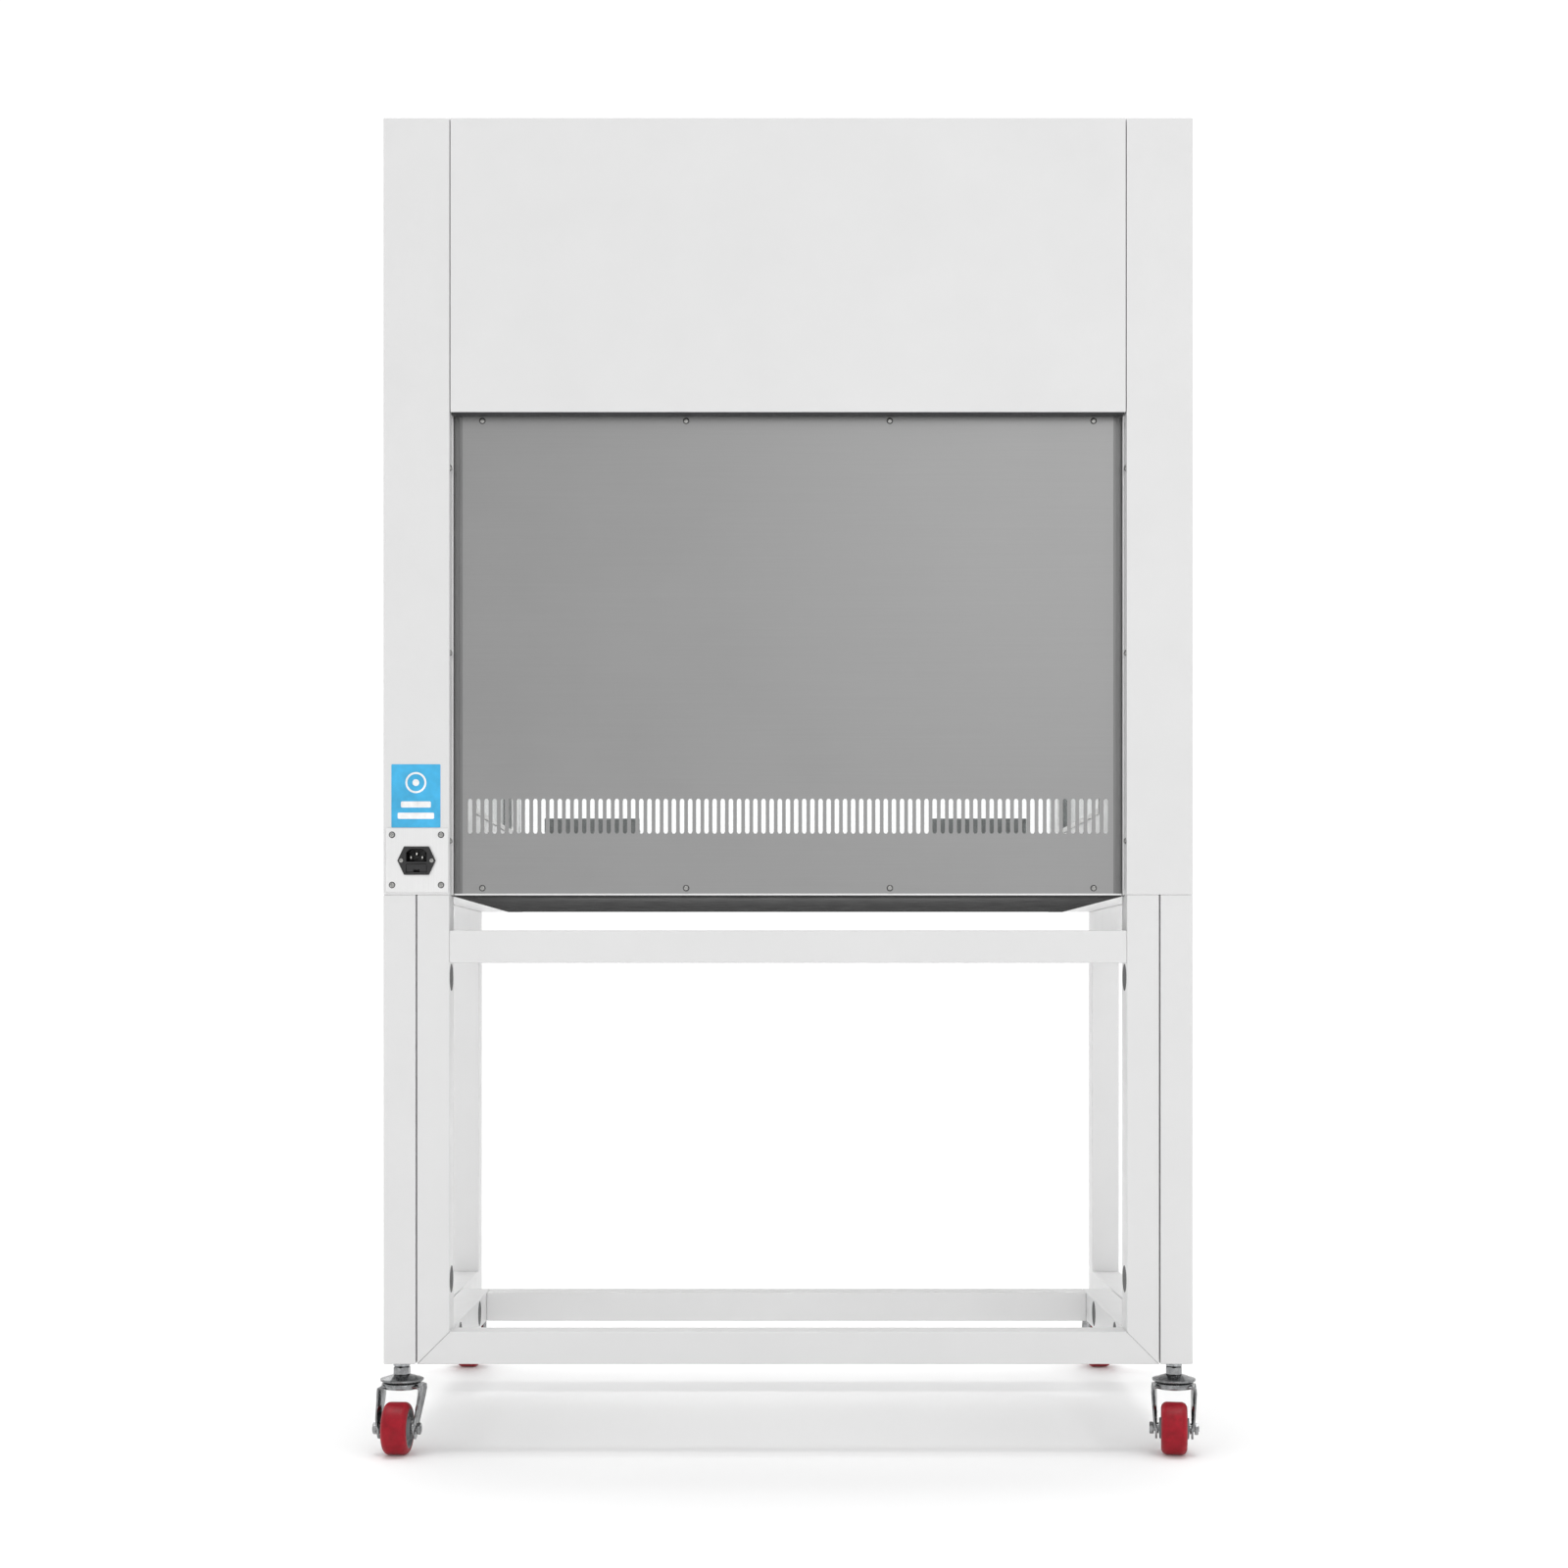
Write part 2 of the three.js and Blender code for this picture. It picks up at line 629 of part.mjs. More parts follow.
// ---- Sash ----

// A handle: a plate on the glass with a ledge for the fingers along its foot.
function sashHandle(side) {
  const rear = SASH_REAR + GLASS;
  const section = [
    [rear, HANDLE_BOTTOM],
    [rear, HANDLE_TOP],
    [rear + 4, HANDLE_TOP],
    [rear + 5, HANDLE_BOTTOM + 7],
    [rear + 18, HANDLE_BOTTOM + 5],
    [rear + 21, HANDLE_BOTTOM + 8],
    [rear + 22, HANDLE_BOTTOM + 2],
    [rear + 20, HANDLE_BOTTOM],
  ];
  const centre = side * HANDLE_CENTRE;
  return prism("x", section, centre - HANDLE_WIDTH / 2, centre + HANDLE_WIDTH / 2);
}

// ---- Mains inlet ----

// The socket's flange, body and three blades; the fuse drawer has a pocket under the socket.
function inletBody() {
  const face = REAR - SHEET - FLANGE.thick;
  const flange = [
    [INLET_Z, INLET_X - FLANGE.reach],
    [INLET_Z + FLANGE.height, INLET_X - FLANGE.half],
    [INLET_Z + FLANGE.height, INLET_X + FLANGE.half],
    [INLET_Z, INLET_X + FLANGE.reach],
    [INLET_Z - FLANGE.height, INLET_X + FLANGE.half],
    [INLET_Z - FLANGE.height, INLET_X - FLANGE.half],
  ];
  const half = SOCKET_WIDTH / 2;
  const x = [INLET_X - half, INLET_X + half];
  const socket = [
    [INLET_Z - 1.5, x[0]],
    [INLET_Z + 10, x[0]],
    [INLET_Z + 14.5, x[0] + 5],
    [INLET_Z + 14.5, x[1] - 5],
    [INLET_Z + 10, x[1]],
    [INLET_Z - 1.5, x[1]],
  ];
  const around = (centre, reach) => [centre - reach, centre + reach];
  const barrel = block(
    around(INLET_X, INLET_BODY.half),
    [REAR - SHEET - 0.5, REAR + INLET_BODY.back],
    around(INLET_Z, INLET_BODY.height),
  );
  const shell = cut(
    join(prism("y", flange, face, REAR - SHEET), barrel),
    prism("y", socket, face - 1, REAR + 12),
    block(x, [face - 1, REAR + DRAWER.back + 2], [INLET_Z + DRAWER.low, INLET_Z + DRAWER.high]),
  );
  const pins = PINS.map(([dx, dz]) =>
    block(around(INLET_X + dx, 1), [face + 3, REAR + 13], around(INLET_Z + dz, 2)),
  );
  return join(shell, ...pins);
}

function fuseDrawer() {
  const half = SOCKET_WIDTH / 2 - DRAWER.gap;
  const face = REAR - SHEET - FLANGE.thick;
  const z = [INLET_Z + DRAWER.low + DRAWER.gap, INLET_Z + DRAWER.high - DRAWER.gap];
  const body = block([INLET_X - half, INLET_X + half], [face, REAR + DRAWER.back], z);
  const fusePocket = block([INLET_X - half + 2, INLET_X + half - 2], [face + 3, REAR + 15], [z[0] + 2, z[1] + 1]);
  const thumbRecess = block([INLET_X - 4, INLET_X + 4], [face - 1, face + 1.5], [z[0] - 1, z[0] + 4]);
  return cut(body, fusePocket, thumbRecess);
}

// ---- Control panel ----

function controlPanel() {
  const { half, height, thick } = PANEL_PLATE;
  const plate = block([-half, half], [FRONT, FRONT + thick], [PANEL_Z - height, PANEL_Z + height]);
  const holes = Object.values(BUTTON_PLACES).map((x) =>
    rod("y", BUTTON_RADIUS + 0.6, FRONT - 1, FRONT + 4, [PANEL_Z, x], 20),
  );
  return cut(plate, ...holes);
}

// A push button, held behind the panel by its collar.
function button(x) {
  const cap = rod("y", BUTTON_RADIUS, FRONT - 6, FRONT + 6, [PANEL_Z, x], 20);
  const collar = rod("y", BUTTON_RADIUS + 2, FRONT - 4, FRONT - CONTACT_GAP, [PANEL_Z, x], 12);
  return join(cap, collar);
}

function buildCabinet() {
  const half = OPENING_HALF - SEAM;
  bothSides((name, side) => {
    piece("side_casing_" + name, sideCasing(side), white);
    const pane = [side * (CHAMBER_HALF + 2), side * (CHAMBER_HALF + 2 + GLASS)];
    const windowZ = [WINDOW_BOTTOM, WINDOW_TOP];
    piece("side_window_" + name, block(pane, [-WINDOW_HALF, WINDOW_HALF], windowZ), glass);
  });
  piece("rear_cover", coverPanel(REAR, 1, COVER_DEPTH, [OPENING_TOP, HEIGHT], half), white);
  piece("top_cover", topCover(), white);
  piece("back_panel", backPanel(), steel);
  piece("work_surface", workSurface(), steel);
  piece("bottom_pan", bottomPan(), steel);
  piece("front_apron", frontApron(), white);
  piece("front_fascia", frontFascia(), white);
  piece("hepa_filter", hepaFilter(), paper);
  piece("diffuser_screen", diffuser(), steel);
  piece("blower_housing", blowerHousing(), galvanised);
  piece("blower_motor", blowerMotor(), black);
  piece("impeller", impeller(), galvanised);
  piece("chamber_lamp", lamp(), keys);
}

function buildSash() {
  const sash = new THREE.Group();
  hood.add(sash);
  const pane = block([-SASH_HALF, SASH_HALF], [SASH_REAR, SASH_REAR + GLASS], [SASH_BOTTOM, SASH_TOP]);
  piece("sash_glass", pane, glass, sash);
  bothSides((name, side) => {
    piece("sash_handle_" + name, sashHandle(side), black, sash);
    const { x, y, z } = COUNTERWEIGHT;
    piece("counterweight_" + name, block([side * x[0], side * x[1]], y, z), castIron);
  });
}

function buildInlet() {
  const plate = block(INLET_PLATE.x, [REAR - SHEET, REAR], INLET_PLATE.z);
  const hole = block([INLET_X - 15.5, INLET_X + 15.5], [REAR - 3, REAR + 1], [INLET_Z - 16.5, INLET_Z + 16.5]);
  piece("inlet_plate", cut(plate, hole), steel);
  piece("inlet_body", inletBody(), black);
  piece("fuse_drawer", fuseDrawer(), black);
}

function buildControls() {
  piece("control_panel", controlPanel(), black);
  for (const [name, x] of Object.entries(BUTTON_PLACES)) {
    piece(name, button(x), keys);
  }
}

buildStand();
buildCasters();
buildCabinet();
buildSash();
buildInlet();
buildControls();

export default hood;
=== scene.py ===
"""The looks of a vertical-flow clean-air hood on its wheeled stand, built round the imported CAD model.

Metres, +Z up. The rear of the hood, with the slotted panel and the mains inlet, faces -Y.
"""

import json
import math

import bmesh
import bpy
from mathutils import Matrix, Vector

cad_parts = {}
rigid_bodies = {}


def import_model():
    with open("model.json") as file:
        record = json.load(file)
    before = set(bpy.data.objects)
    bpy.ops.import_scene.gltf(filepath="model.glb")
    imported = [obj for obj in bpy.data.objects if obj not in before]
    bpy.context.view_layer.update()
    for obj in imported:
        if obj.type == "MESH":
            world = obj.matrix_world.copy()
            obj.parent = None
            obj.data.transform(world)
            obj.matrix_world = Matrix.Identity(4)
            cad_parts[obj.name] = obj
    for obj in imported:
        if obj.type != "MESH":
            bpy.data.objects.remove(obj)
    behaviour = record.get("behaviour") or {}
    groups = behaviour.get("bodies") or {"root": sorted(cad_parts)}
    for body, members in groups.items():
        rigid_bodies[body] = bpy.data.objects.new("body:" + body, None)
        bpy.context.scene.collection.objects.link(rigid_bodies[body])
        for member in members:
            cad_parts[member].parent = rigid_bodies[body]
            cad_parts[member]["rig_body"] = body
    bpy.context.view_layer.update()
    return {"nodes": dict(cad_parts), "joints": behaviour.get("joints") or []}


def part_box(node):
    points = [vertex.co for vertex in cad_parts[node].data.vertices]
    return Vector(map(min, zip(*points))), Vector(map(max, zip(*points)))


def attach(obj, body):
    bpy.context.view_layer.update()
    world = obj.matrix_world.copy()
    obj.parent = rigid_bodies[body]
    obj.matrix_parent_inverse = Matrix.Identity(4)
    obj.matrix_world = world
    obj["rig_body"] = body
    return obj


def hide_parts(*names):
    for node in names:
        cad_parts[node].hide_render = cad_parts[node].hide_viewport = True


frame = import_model()

# Lengths are metres, unless a docstring says millimetres.
MM = 0.001
CORNERS = ("rear_left", "rear_right", "front_left", "front_right")
SIDES = {"left": -1, "right": 1}

# Stand, in millimetres.
NUT_ACROSS = 19.0
BUNG_RADIUS = 16.9
CASTER_DISC_RADIUS = 27

# Stand, in metres: the holes in the inner legs and base rails, and the mitred joints' seams.
LEG_HOLE_HEIGHTS = (0.213, 0.588)
BASE_HOLE_PLACES = (-0.223, -0.029)
BASE_HOLE_HEIGHT = 0.131
SEAM_WIDTH = 0.0005

# Cabinet: the bare face of the rear panel, its screws and the side windows.
PANEL_HALF = 0.408
SCREW_ROW_HALF = 0.380
REVEAL_SCREW_HEIGHTS = (0.067, 0.300, 0.529)
WINDOW_SEAL_LAP = 0.007
PAN_SHADE_LAP = 0.020

FLOOR_HALF = 30
SLOTS = {name: node.data.materials[0].name for name, node in frame["nodes"].items()}


# ---- Materials ----


class Surface:
    """A Principled material, with short calls for its procedural detail in object space."""

    def __init__(self, name, color, roughness, metallic=0.0, **sockets):
        self.material = bpy.data.materials.new(name)
        self.material.use_nodes = True
        self.tree = self.material.node_tree
        self.shader = self.tree.nodes["Principled BSDF"]
        self.color = color
        self.shader.inputs["Base Color"].default_value = (*color, 1)
        self.shader.inputs["Roughness"].default_value = roughness
        self.shader.inputs["Metallic"].default_value = metallic
        for socket, value in sockets.items():
            self.shader.inputs[socket.replace("_", " ")].default_value = value
        self.place = self.add("ShaderNodeTexCoord").outputs["Object"]

    def add(self, kind, **inputs):
        node = self.tree.nodes.new(kind)
        for socket, value in inputs.items():
            node.inputs[socket].default_value = value
        return node

    def link(self, source, target):
        self.tree.links.new(source, target)

    def stretched(self, stretch):
        mapping = self.add("ShaderNodeMapping")
        mapping.inputs["Scale"].default_value = stretch
        self.link(self.place, mapping.inputs["Vector"])
        return mapping.outputs["Vector"]

    def noise(self, stretch, detail=4.0, roughness=0.55):
        """Noise with stretch[i] features to the metre along each axis."""
        node = self.add("ShaderNodeTexNoise", Scale=1.0, Detail=detail, Roughness=roughness)
        self.link(self.stretched(stretch), node.inputs["Vector"])
        return node.outputs["Fac"]

    def cells(self, scale):
        node = self.add("ShaderNodeTexVoronoi", Scale=scale)
        self.link(self.place, node.inputs["Vector"])
        return node.outputs["Color"]

    def spread(self, value, low, high):
        """The middle half of a noise spread between two values."""
        node = self.add("ShaderNodeMapRange")
        node.inputs["From Min"].default_value = 0.3
        node.inputs["From Max"].default_value = 0.7
        node.inputs["To Min"].default_value = low
        node.inputs["To Max"].default_value = high
        self.link(value, node.inputs["Value"])
        return node.outputs["Result"]

    def tint(self, value, low, high):
        """Base colour between low and high times the surface's own colour."""
        ramp = self.add("ShaderNodeValToRGB")
        ramp.color_ramp.elements[0].position = 0.3
        ramp.color_ramp.elements[1].position = 0.7
        for element, share in zip(ramp.color_ramp.elements, (low, high)):
            element.color = (*(min(1.0, c * share) for c in self.color), 1)
        self.link(value, ramp.inputs["Fac"])
        self.link(ramp.outputs["Color"], self.shader.inputs["Base Color"])
        return self

    def rough(self, value, low, high):
        self.link(self.spread(value, low, high), self.shader.inputs["Roughness"])
        return self

    def bump(self, value, height, strength=0.5):
        node = self.add("ShaderNodeBump", Strength=strength, Distance=height)
        self.link(value, node.inputs["Height"])
        self.link(node.outputs["Normal"], self.shader.inputs["Normal"])
        return self


def even(scale):
    return (scale, scale, scale)


def paint(name, color, roughness=0.42):
    """Powder coat: a fine orange peel with a faint cloudiness in its tone and gloss."""
    made = Surface(name, color, roughness, Specular_IOR_Level=0.45)
    cloud = made.noise(even(9), 5)
    made.tint(cloud, 0.985, 1.01).rough(made.noise(even(30)), roughness - 0.06, roughness + 0.07)
    made.bump(made.noise(even(420), 2), 0.00012, 0.35)
    return made.material


def brushed(name, color, roughness, grain, cloud=0.08):
    """Sheet with a fine grain along the axis that grain is small in, and soft smudges over it."""
    made = Surface(name, color, roughness, 1.0)
    streaks = made.noise(grain, 3, 0.7)
    smudges = made.noise(even(7), 6, 0.62)
    mixed = made.add("ShaderNodeMath")
    mixed.operation = "MULTIPLY_ADD"
    mixed.inputs[1].default_value = 0.45
    made.link(streaks, mixed.inputs[0])
    halved = made.add("ShaderNodeMath")
    halved.operation = "MULTIPLY"
    halved.inputs[1].default_value = 0.55
    made.link(smudges, halved.inputs[0])
    made.link(halved.outputs["Value"], mixed.inputs[2])
    made.tint(mixed.outputs["Value"], 1 - cloud, 1 + cloud)
    made.rough(smudges, roughness - 0.02, roughness + 0.03)
    made.bump(streaks, 0.00008, 0.3)
    return made.material


def plated(name, color, roughness):
    """Bright plating over pressed steel, a little uneven."""
    made = Surface(name, color, roughness, 1.0)
    made.tint(made.noise(even(160), 4), 0.62, 1.15)
    made.rough(made.noise(even(500), 5), roughness - 0.05, roughness + 0.12)
    made.bump(made.noise(even(240), 3), 0.00025, 0.35)
    return made.material


def moulded(name, color, roughness, grain=1500, **sockets):
    """Moulded plastic or rubber with a fine spark-eroded grain."""
    made = Surface(name, color, roughness, **sockets)
    made.tint(made.noise(even(60), 4), 0.86, 1.12)
    made.rough(made.noise(even(260), 4), roughness - 0.06, roughness + 0.08)
    made.bump(made.noise(even(grain), 2), 0.00008, 0.4)
    return made.material


def clear_glass(name, color, alpha):
    """Thin toughened glass, with the faint haze of wiping."""
    made = Surface(name, color, 0.04, Alpha=alpha, IOR=1.5, Specular_IOR_Level=0.7)
    made.tint(made.noise(even(5), 3), 0.96, 1.04)
    made.rough(made.noise((14, 14, 5), 5), 0.02, 0.09)
    return made.material


def polyurethane():
    """The red tyre: glossy, with dust and scuffs worked into its face."""
    made = Surface("wheel_tread", (0.31, 0.0035, 0.014), 0.4, Specular_IOR_Level=0.25)
    made.tint(made.noise(even(90), 6, 0.65), 0.72, 1.2)
    made.rough(made.noise(even(220), 6, 0.7), 0.32, 0.5)
    made.bump(made.noise(even(600), 3), 0.0001, 0.35)
    return made.material


def galvanised():
    """Zinc-dipped sheet, with its spangle."""
    made = Surface("galvanised", (0.46, 0.48, 0.49), 0.42, 1.0)
    spangle = made.cells(110)
    made.tint(spangle, 0.82, 1.12).rough(spangle, 0.34, 0.5)
    made.bump(made.noise(even(300), 3), 0.0001, 0.3)
    return made.material


def underside_shade():
    """Painted shade for the underside of the cabinet: a dark matt colour standing in for the shade under
    it.
    """
    made = Surface("underside_shade", (0.062, 0.062, 0.062), 0.6, Specular_IOR_Level=0.0)
    made.tint(made.noise(even(26), 5), 0.8, 1.25).rough(made.noise(even(40)), 0.55, 0.7)
    made.bump(made.noise(even(500), 3), 0.0001, 0.3)
    return made.material


def filter_paper():
    made = Surface("filter_paper", (0.86, 0.86, 0.82), 0.9)
    made.tint(made.noise(even(700), 4), 0.92, 1.03)
    made.bump(made.noise(even(1200), 4), 0.0002, 0.5)
    return made.material


def cast():
    made = Surface("cast_iron", (0.055, 0.058, 0.062), 0.6, 0.6)
    made.tint(made.noise(even(180), 6), 0.75, 1.3).rough(made.noise(even(90)), 0.5, 0.75)
    made.bump(made.noise(even(420), 5), 0.0004, 0.6)
    return made.material


LOOKS = {
    "stand_paint": paint("stand_paint", (0.715, 0.715, 0.715)),
    "cabinet_paint": paint("cabinet_paint", (0.71, 0.71, 0.71), 0.38),
    "stainless": brushed("stainless", (0.315, 0.315, 0.315), 0.40, (6, 900, 900), 0.035),
    "brushed_plate": brushed("brushed_plate", (0.80, 0.80, 0.80), 0.42, (900, 900, 8), 0.06),
    "galvanised": galvanised(),
    "chrome": plated("chrome", (0.30, 0.305, 0.31), 0.17),
    "wheel_tread": polyurethane(),
    "glass": clear_glass("glass", (0.80, 0.88, 0.87), 0.11),
    "counterweight": cast(),
    "filter": filter_paper(),
    "lamp": paint("lamp_enamel", (0.85, 0.85, 0.85), 0.3),
    "button": moulded("button_plastic", (0.62, 0.64, 0.67), 0.4),
    "motor_paint": paint("motor_enamel", (0.045, 0.05, 0.06), 0.35),
    "black_plastic": moulded("black_plastic", (0.014, 0.014, 0.015), 0.38),
}
UNDERSIDE_SHADE = underside_shade()
ANODISED = brushed("anodised", (0.17, 0.17, 0.17), 0.5, (12, 900, 900), 0.06)
GASKET = moulded("white_gasket", (0.60, 0.60, 0.59), 0.5, 1100)
WHEEL_CORE = moulded("wheel_core", (0.16, 0.165, 0.17), 0.45, 900)
BEARING = plated("bearing_steel", (0.42, 0.43, 0.44), 0.25)
# Dark rubber for the window seals and the mitre seams, and also the colour of painted shade under the
# rear cover, in the casters' race gaps and round the screw heads.
RUBBER_AND_SHADE = moulded("seal_rubber_and_shade", (0.035, 0.036, 0.038), 0.55, 1100)
# Darkened steel: painted shade in the grooves beside the rear panel and along its edges.
GROOVE_SHADE = brushed("groove_shade_steel", (0.22, 0.22, 0.22), 0.45, (900, 900, 12), 0.14)
SCREW = plated("screw_steel", (0.38, 0.38, 0.37), 0.2)
PIN = plated("pin_steel", (0.85, 0.84, 0.80), 0.2)
STICKER = moulded("sticker_blue", (0.045, 0.42, 0.73), 0.42, 700)
MARK = moulded("sticker_white", (0.88, 0.88, 0.88), 0.45, 700)
SCREEN = moulded("screen_glass", (0.012, 0.02, 0.026), 0.12, 300, Coat_Weight=0.4)
BUNG = moulded("hole_bung", (0.075, 0.075, 0.076), 0.6, 900)
# The bottom pan is dark all over: painted shade for its shadowed underside.
OWN_LOOKS = {"bottom_pan": UNDERSIDE_SHADE, "sash_handle_left": ANODISED, "sash_handle_right": ANODISED}


def look_of(node):
    return OWN_LOOKS.get(node, LOOKS[SLOTS[node]])


# ---- Mesh helpers ----


def linked(name, data):
    """A new object in the scene."""
    made = bpy.data.objects.new(name, data)
    bpy.context.scene.collection.objects.link(made)
    return made


def mesh_from(shape, name):
    """The mesh of a bmesh, which is freed."""
    mesh = bpy.data.meshes.new(name)
    shape.to_mesh(mesh)
    shape.free()
    return mesh


def shaded(mesh, material, smooth=35.0):
    """Shades a mesh smooth, with the edges sharper than smooth degrees kept crisp."""
    mesh.shade_smooth()
    mesh.set_sharp_from_angle(angle=math.radians(smooth))
    mesh.materials.clear()
    mesh.materials.append(material)
    return mesh


def piece(name, shape, material, body="root", smooth=35.0):
    """A new object from a bmesh, riding on a body."""
    bmesh.ops.recalc_face_normals(shape, faces=shape.faces)
    return placed(name, shaded(mesh_from(shape, name), material, smooth), body)


def placed(name, mesh, body="root", matrix=None):
    """A new object from a mesh, riding on a body."""
    made = linked(name, mesh)
    if matrix is not None:
        made.matrix_world = matrix
    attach(made, body)
    return made


def weighted(made):
    """Keeps the flats of a rounded sheet-metal piece flat in shade."""
    modifier = made.modifiers.new("flats", "WEIGHTED_NORMAL")
    modifier.keep_sharp = True
    return made


def ring_faces(shape, rings, closed=True, capped=False):
    """Skins a list of vertex rings, each as long as the others."""
    count = len(rings[0])
    for first, second in zip(rings, rings[1:]):
        for i in range(count if closed else count - 1):
            j = (i + 1) % count
            shape.faces.new((first[i], first[j], second[j], second[i]))
    if capped:
        shape.faces.new(rings[0])
        shape.faces.new(list(reversed(rings[-1])))


def lathe(profile, steps=48, axis="z", centre=(0, 0, 0)):
    """A closed profile of (radius, height) in millimetres, turned about an axis through centre."""
    shape = bmesh.new()
    turn = {"z": Matrix.Identity(3), "x": Matrix.Rotation(math.pi / 2, 3, "Y")}
    turn["y"] = Matrix.Rotation(-math.pi / 2, 3, "X")
    columns = []
    for i in range(steps):
        angle = 2 * math.pi * i / steps
        column = []
        for r, h in profile:
            spot = Vector((r * math.cos(angle), r * math.sin(angle), h)) * MM
            column.append(shape.verts.new(turn[axis] @ spot + Vector(centre)))
        columns.append(column)
    columns.append(columns[0])
    ring_faces(shape, columns)
    bmesh.ops.remove_doubles(shape, verts=shape.verts, dist=1e-6)
    return shape


def arc(u, v, radius, start, end, steps):
    """Points on an arc, in millimetres and degrees."""
    points = []
    for i in range(steps + 1):
        angle = math.radians(start + (end - start) * i / steps)
        points.append((u + radius * math.cos(angle), v + radius * math.sin(angle)))
    return points


def circle(u, v, radius, sides=48):
    """The outline of a circle about (u, v) in metres, its radius in millimetres."""
    last = 360 - 360 / sides
    return [(u + a * MM, v + b * MM) for a, b in arc(0, 0, radius, 0, last, sides - 1)]


def mirrored(profile):
    """A wheel's profile from half of it, out along one side and back along the other."""
    return [(r, -h) for r, h in profile] + [(r, h) for r, h in reversed(profile)]


PLANES = {
    "x": lambda u, v, w: (w, u, v),
    "y": lambda u, v, w: (u, w, v),
    "z": lambda u, v, w: (u, v, w),
}


def prism(axis, outline, start, end, bevel=0.0, segments=2):
    """An outline of (u, v) in metres drawn across an axis and extruded along it, its ends eased."""
    shape = bmesh.new()
    rings = []
    for w in (start, end):
        rings.append([shape.verts.new(PLANES[axis](u, v, w)) for u, v in outline])
    ring_faces(shape, rings, capped=True)
    bmesh.ops.recalc_face_normals(shape, faces=shape.faces)
    if bevel:
        sharp = [e for e in shape.edges if e.calc_face_angle(0) > math.radians(25)]
        round_off(shape, sharp, bevel, segments)
    return shape


def round_off(shape, edges, radius, segments=3):
    bmesh.ops.bevel(
        shape,
        geom=edges,
        offset=radius,
        offset_type="OFFSET",
        segments=segments,
        profile=0.5,
        affect="EDGES",
        clamp_overlap=True,
    )


def rounded_outline(x0, x1, z0, z1, radius, steps=5):
    """A rectangle with round corners, in metres."""
    points = []
    corners = ((x1, z1, 0), (x0, z1, 90), (x0, z0, 180), (x1, z0, 270))
    for x, z, turn in corners:
        cx = x - radius if x == x1 else x + radius
        cz = z - radius if z == z1 else z + radius
        for i in range(steps + 1):
            angle = math.radians(turn + 90 * i / steps)
            points.append((cx + radius * math.cos(angle), cz + radius * math.sin(angle)))
    return points


def frame_ring(axis, outer, inner, start, end):
    """A flat ring between two outlines of equal length, such as a seal round a window."""
    shape = bmesh.new()
    rings = []
    for outline, w in ((outer, start), (outer, end), (inner, end), (inner, start)):
        rings.append([shape.verts.new(PLANES[axis](u, v, w)) for u, v in outline])
    rings.append(rings[0])
    ring_faces(shape, rings)
    return shape


def eased(node, radius, segments=3, outer_only=True):
    """Stands a copy for a CAD node, with its outer edges rounded by radius, in millimetres."""
    shape = bmesh.new()
    shape.from_mesh(frame["nodes"][node].data)
    bmesh.ops.remove_doubles(shape, verts=shape.verts, dist=1e-5)
    bmesh.ops.dissolve_limit(
        shape, angle_limit=math.radians(0.5), verts=shape.verts, edges=shape.edges
    )
    low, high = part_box(node)

    def on_skin(edge):
        """Both ends lie on the same two outer planes of the node's box."""
        found = 0
        for i in range(3):
            for plane in (low[i], high[i]):
                found += all(abs(v.co[i] - plane) < 1e-5 for v in edge.verts)
        return found >= 2

    edges = []
    for edge in shape.edges:
        if len(edge.link_faces) != 2 or edge.calc_face_angle_signed(0) < math.radians(30):
            continue
        if on_skin(edge) or not outer_only:
            edges.append(edge)
    round_off(shape, edges, radius * MM, segments)
    body = frame["nodes"][node]["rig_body"]
    made = piece(node + "_finished", shape, look_of(node), body)
    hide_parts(node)
    return weighted(made)


def dress_cad_nodes():
    """Every CAD node gets the look of its material slot."""
    for name, node in frame["nodes"].items():
        for holder in node.material_slots:
            holder.material = look_of(name)


# ---- Stage ----


def build_camera():
    data = bpy.data.cameras.new("camera")
    data.sensor_width = 36
    data.lens = 53.1
    data.shift_x = 0.0067
    data.shift_y = 0.13
    camera = linked("camera", data)
    camera.location = (-0.018, -3.182, 0.575)
    camera.rotation_euler = (math.pi / 2, 0, 0)
    bpy.context.scene.camera = camera


def build_floor():
    """A pale floor, lifted a little so that it runs into the backdrop."""
    shape = bmesh.new()
    corners = [(x, y, 0) for x, y in ((-1, -1), (1, -1), (1, 1), (-1, 1))]
    shape.faces.new([shape.verts.new(Vector(corner) * FLOOR_HALF) for corner in corners])
    glow = {"Emission_Color": (1, 1, 1, 1), "Emission_Strength": 0.06}
    floor = Surface("floor", (0.88, 0.88, 0.88), 0.8, **glow)
    floor.tint(floor.noise(even(3), 3), 0.995, 1.005)
    mesh = mesh_from(shape, "floor")
    mesh.materials.append(floor.material)
    linked("floor", mesh)


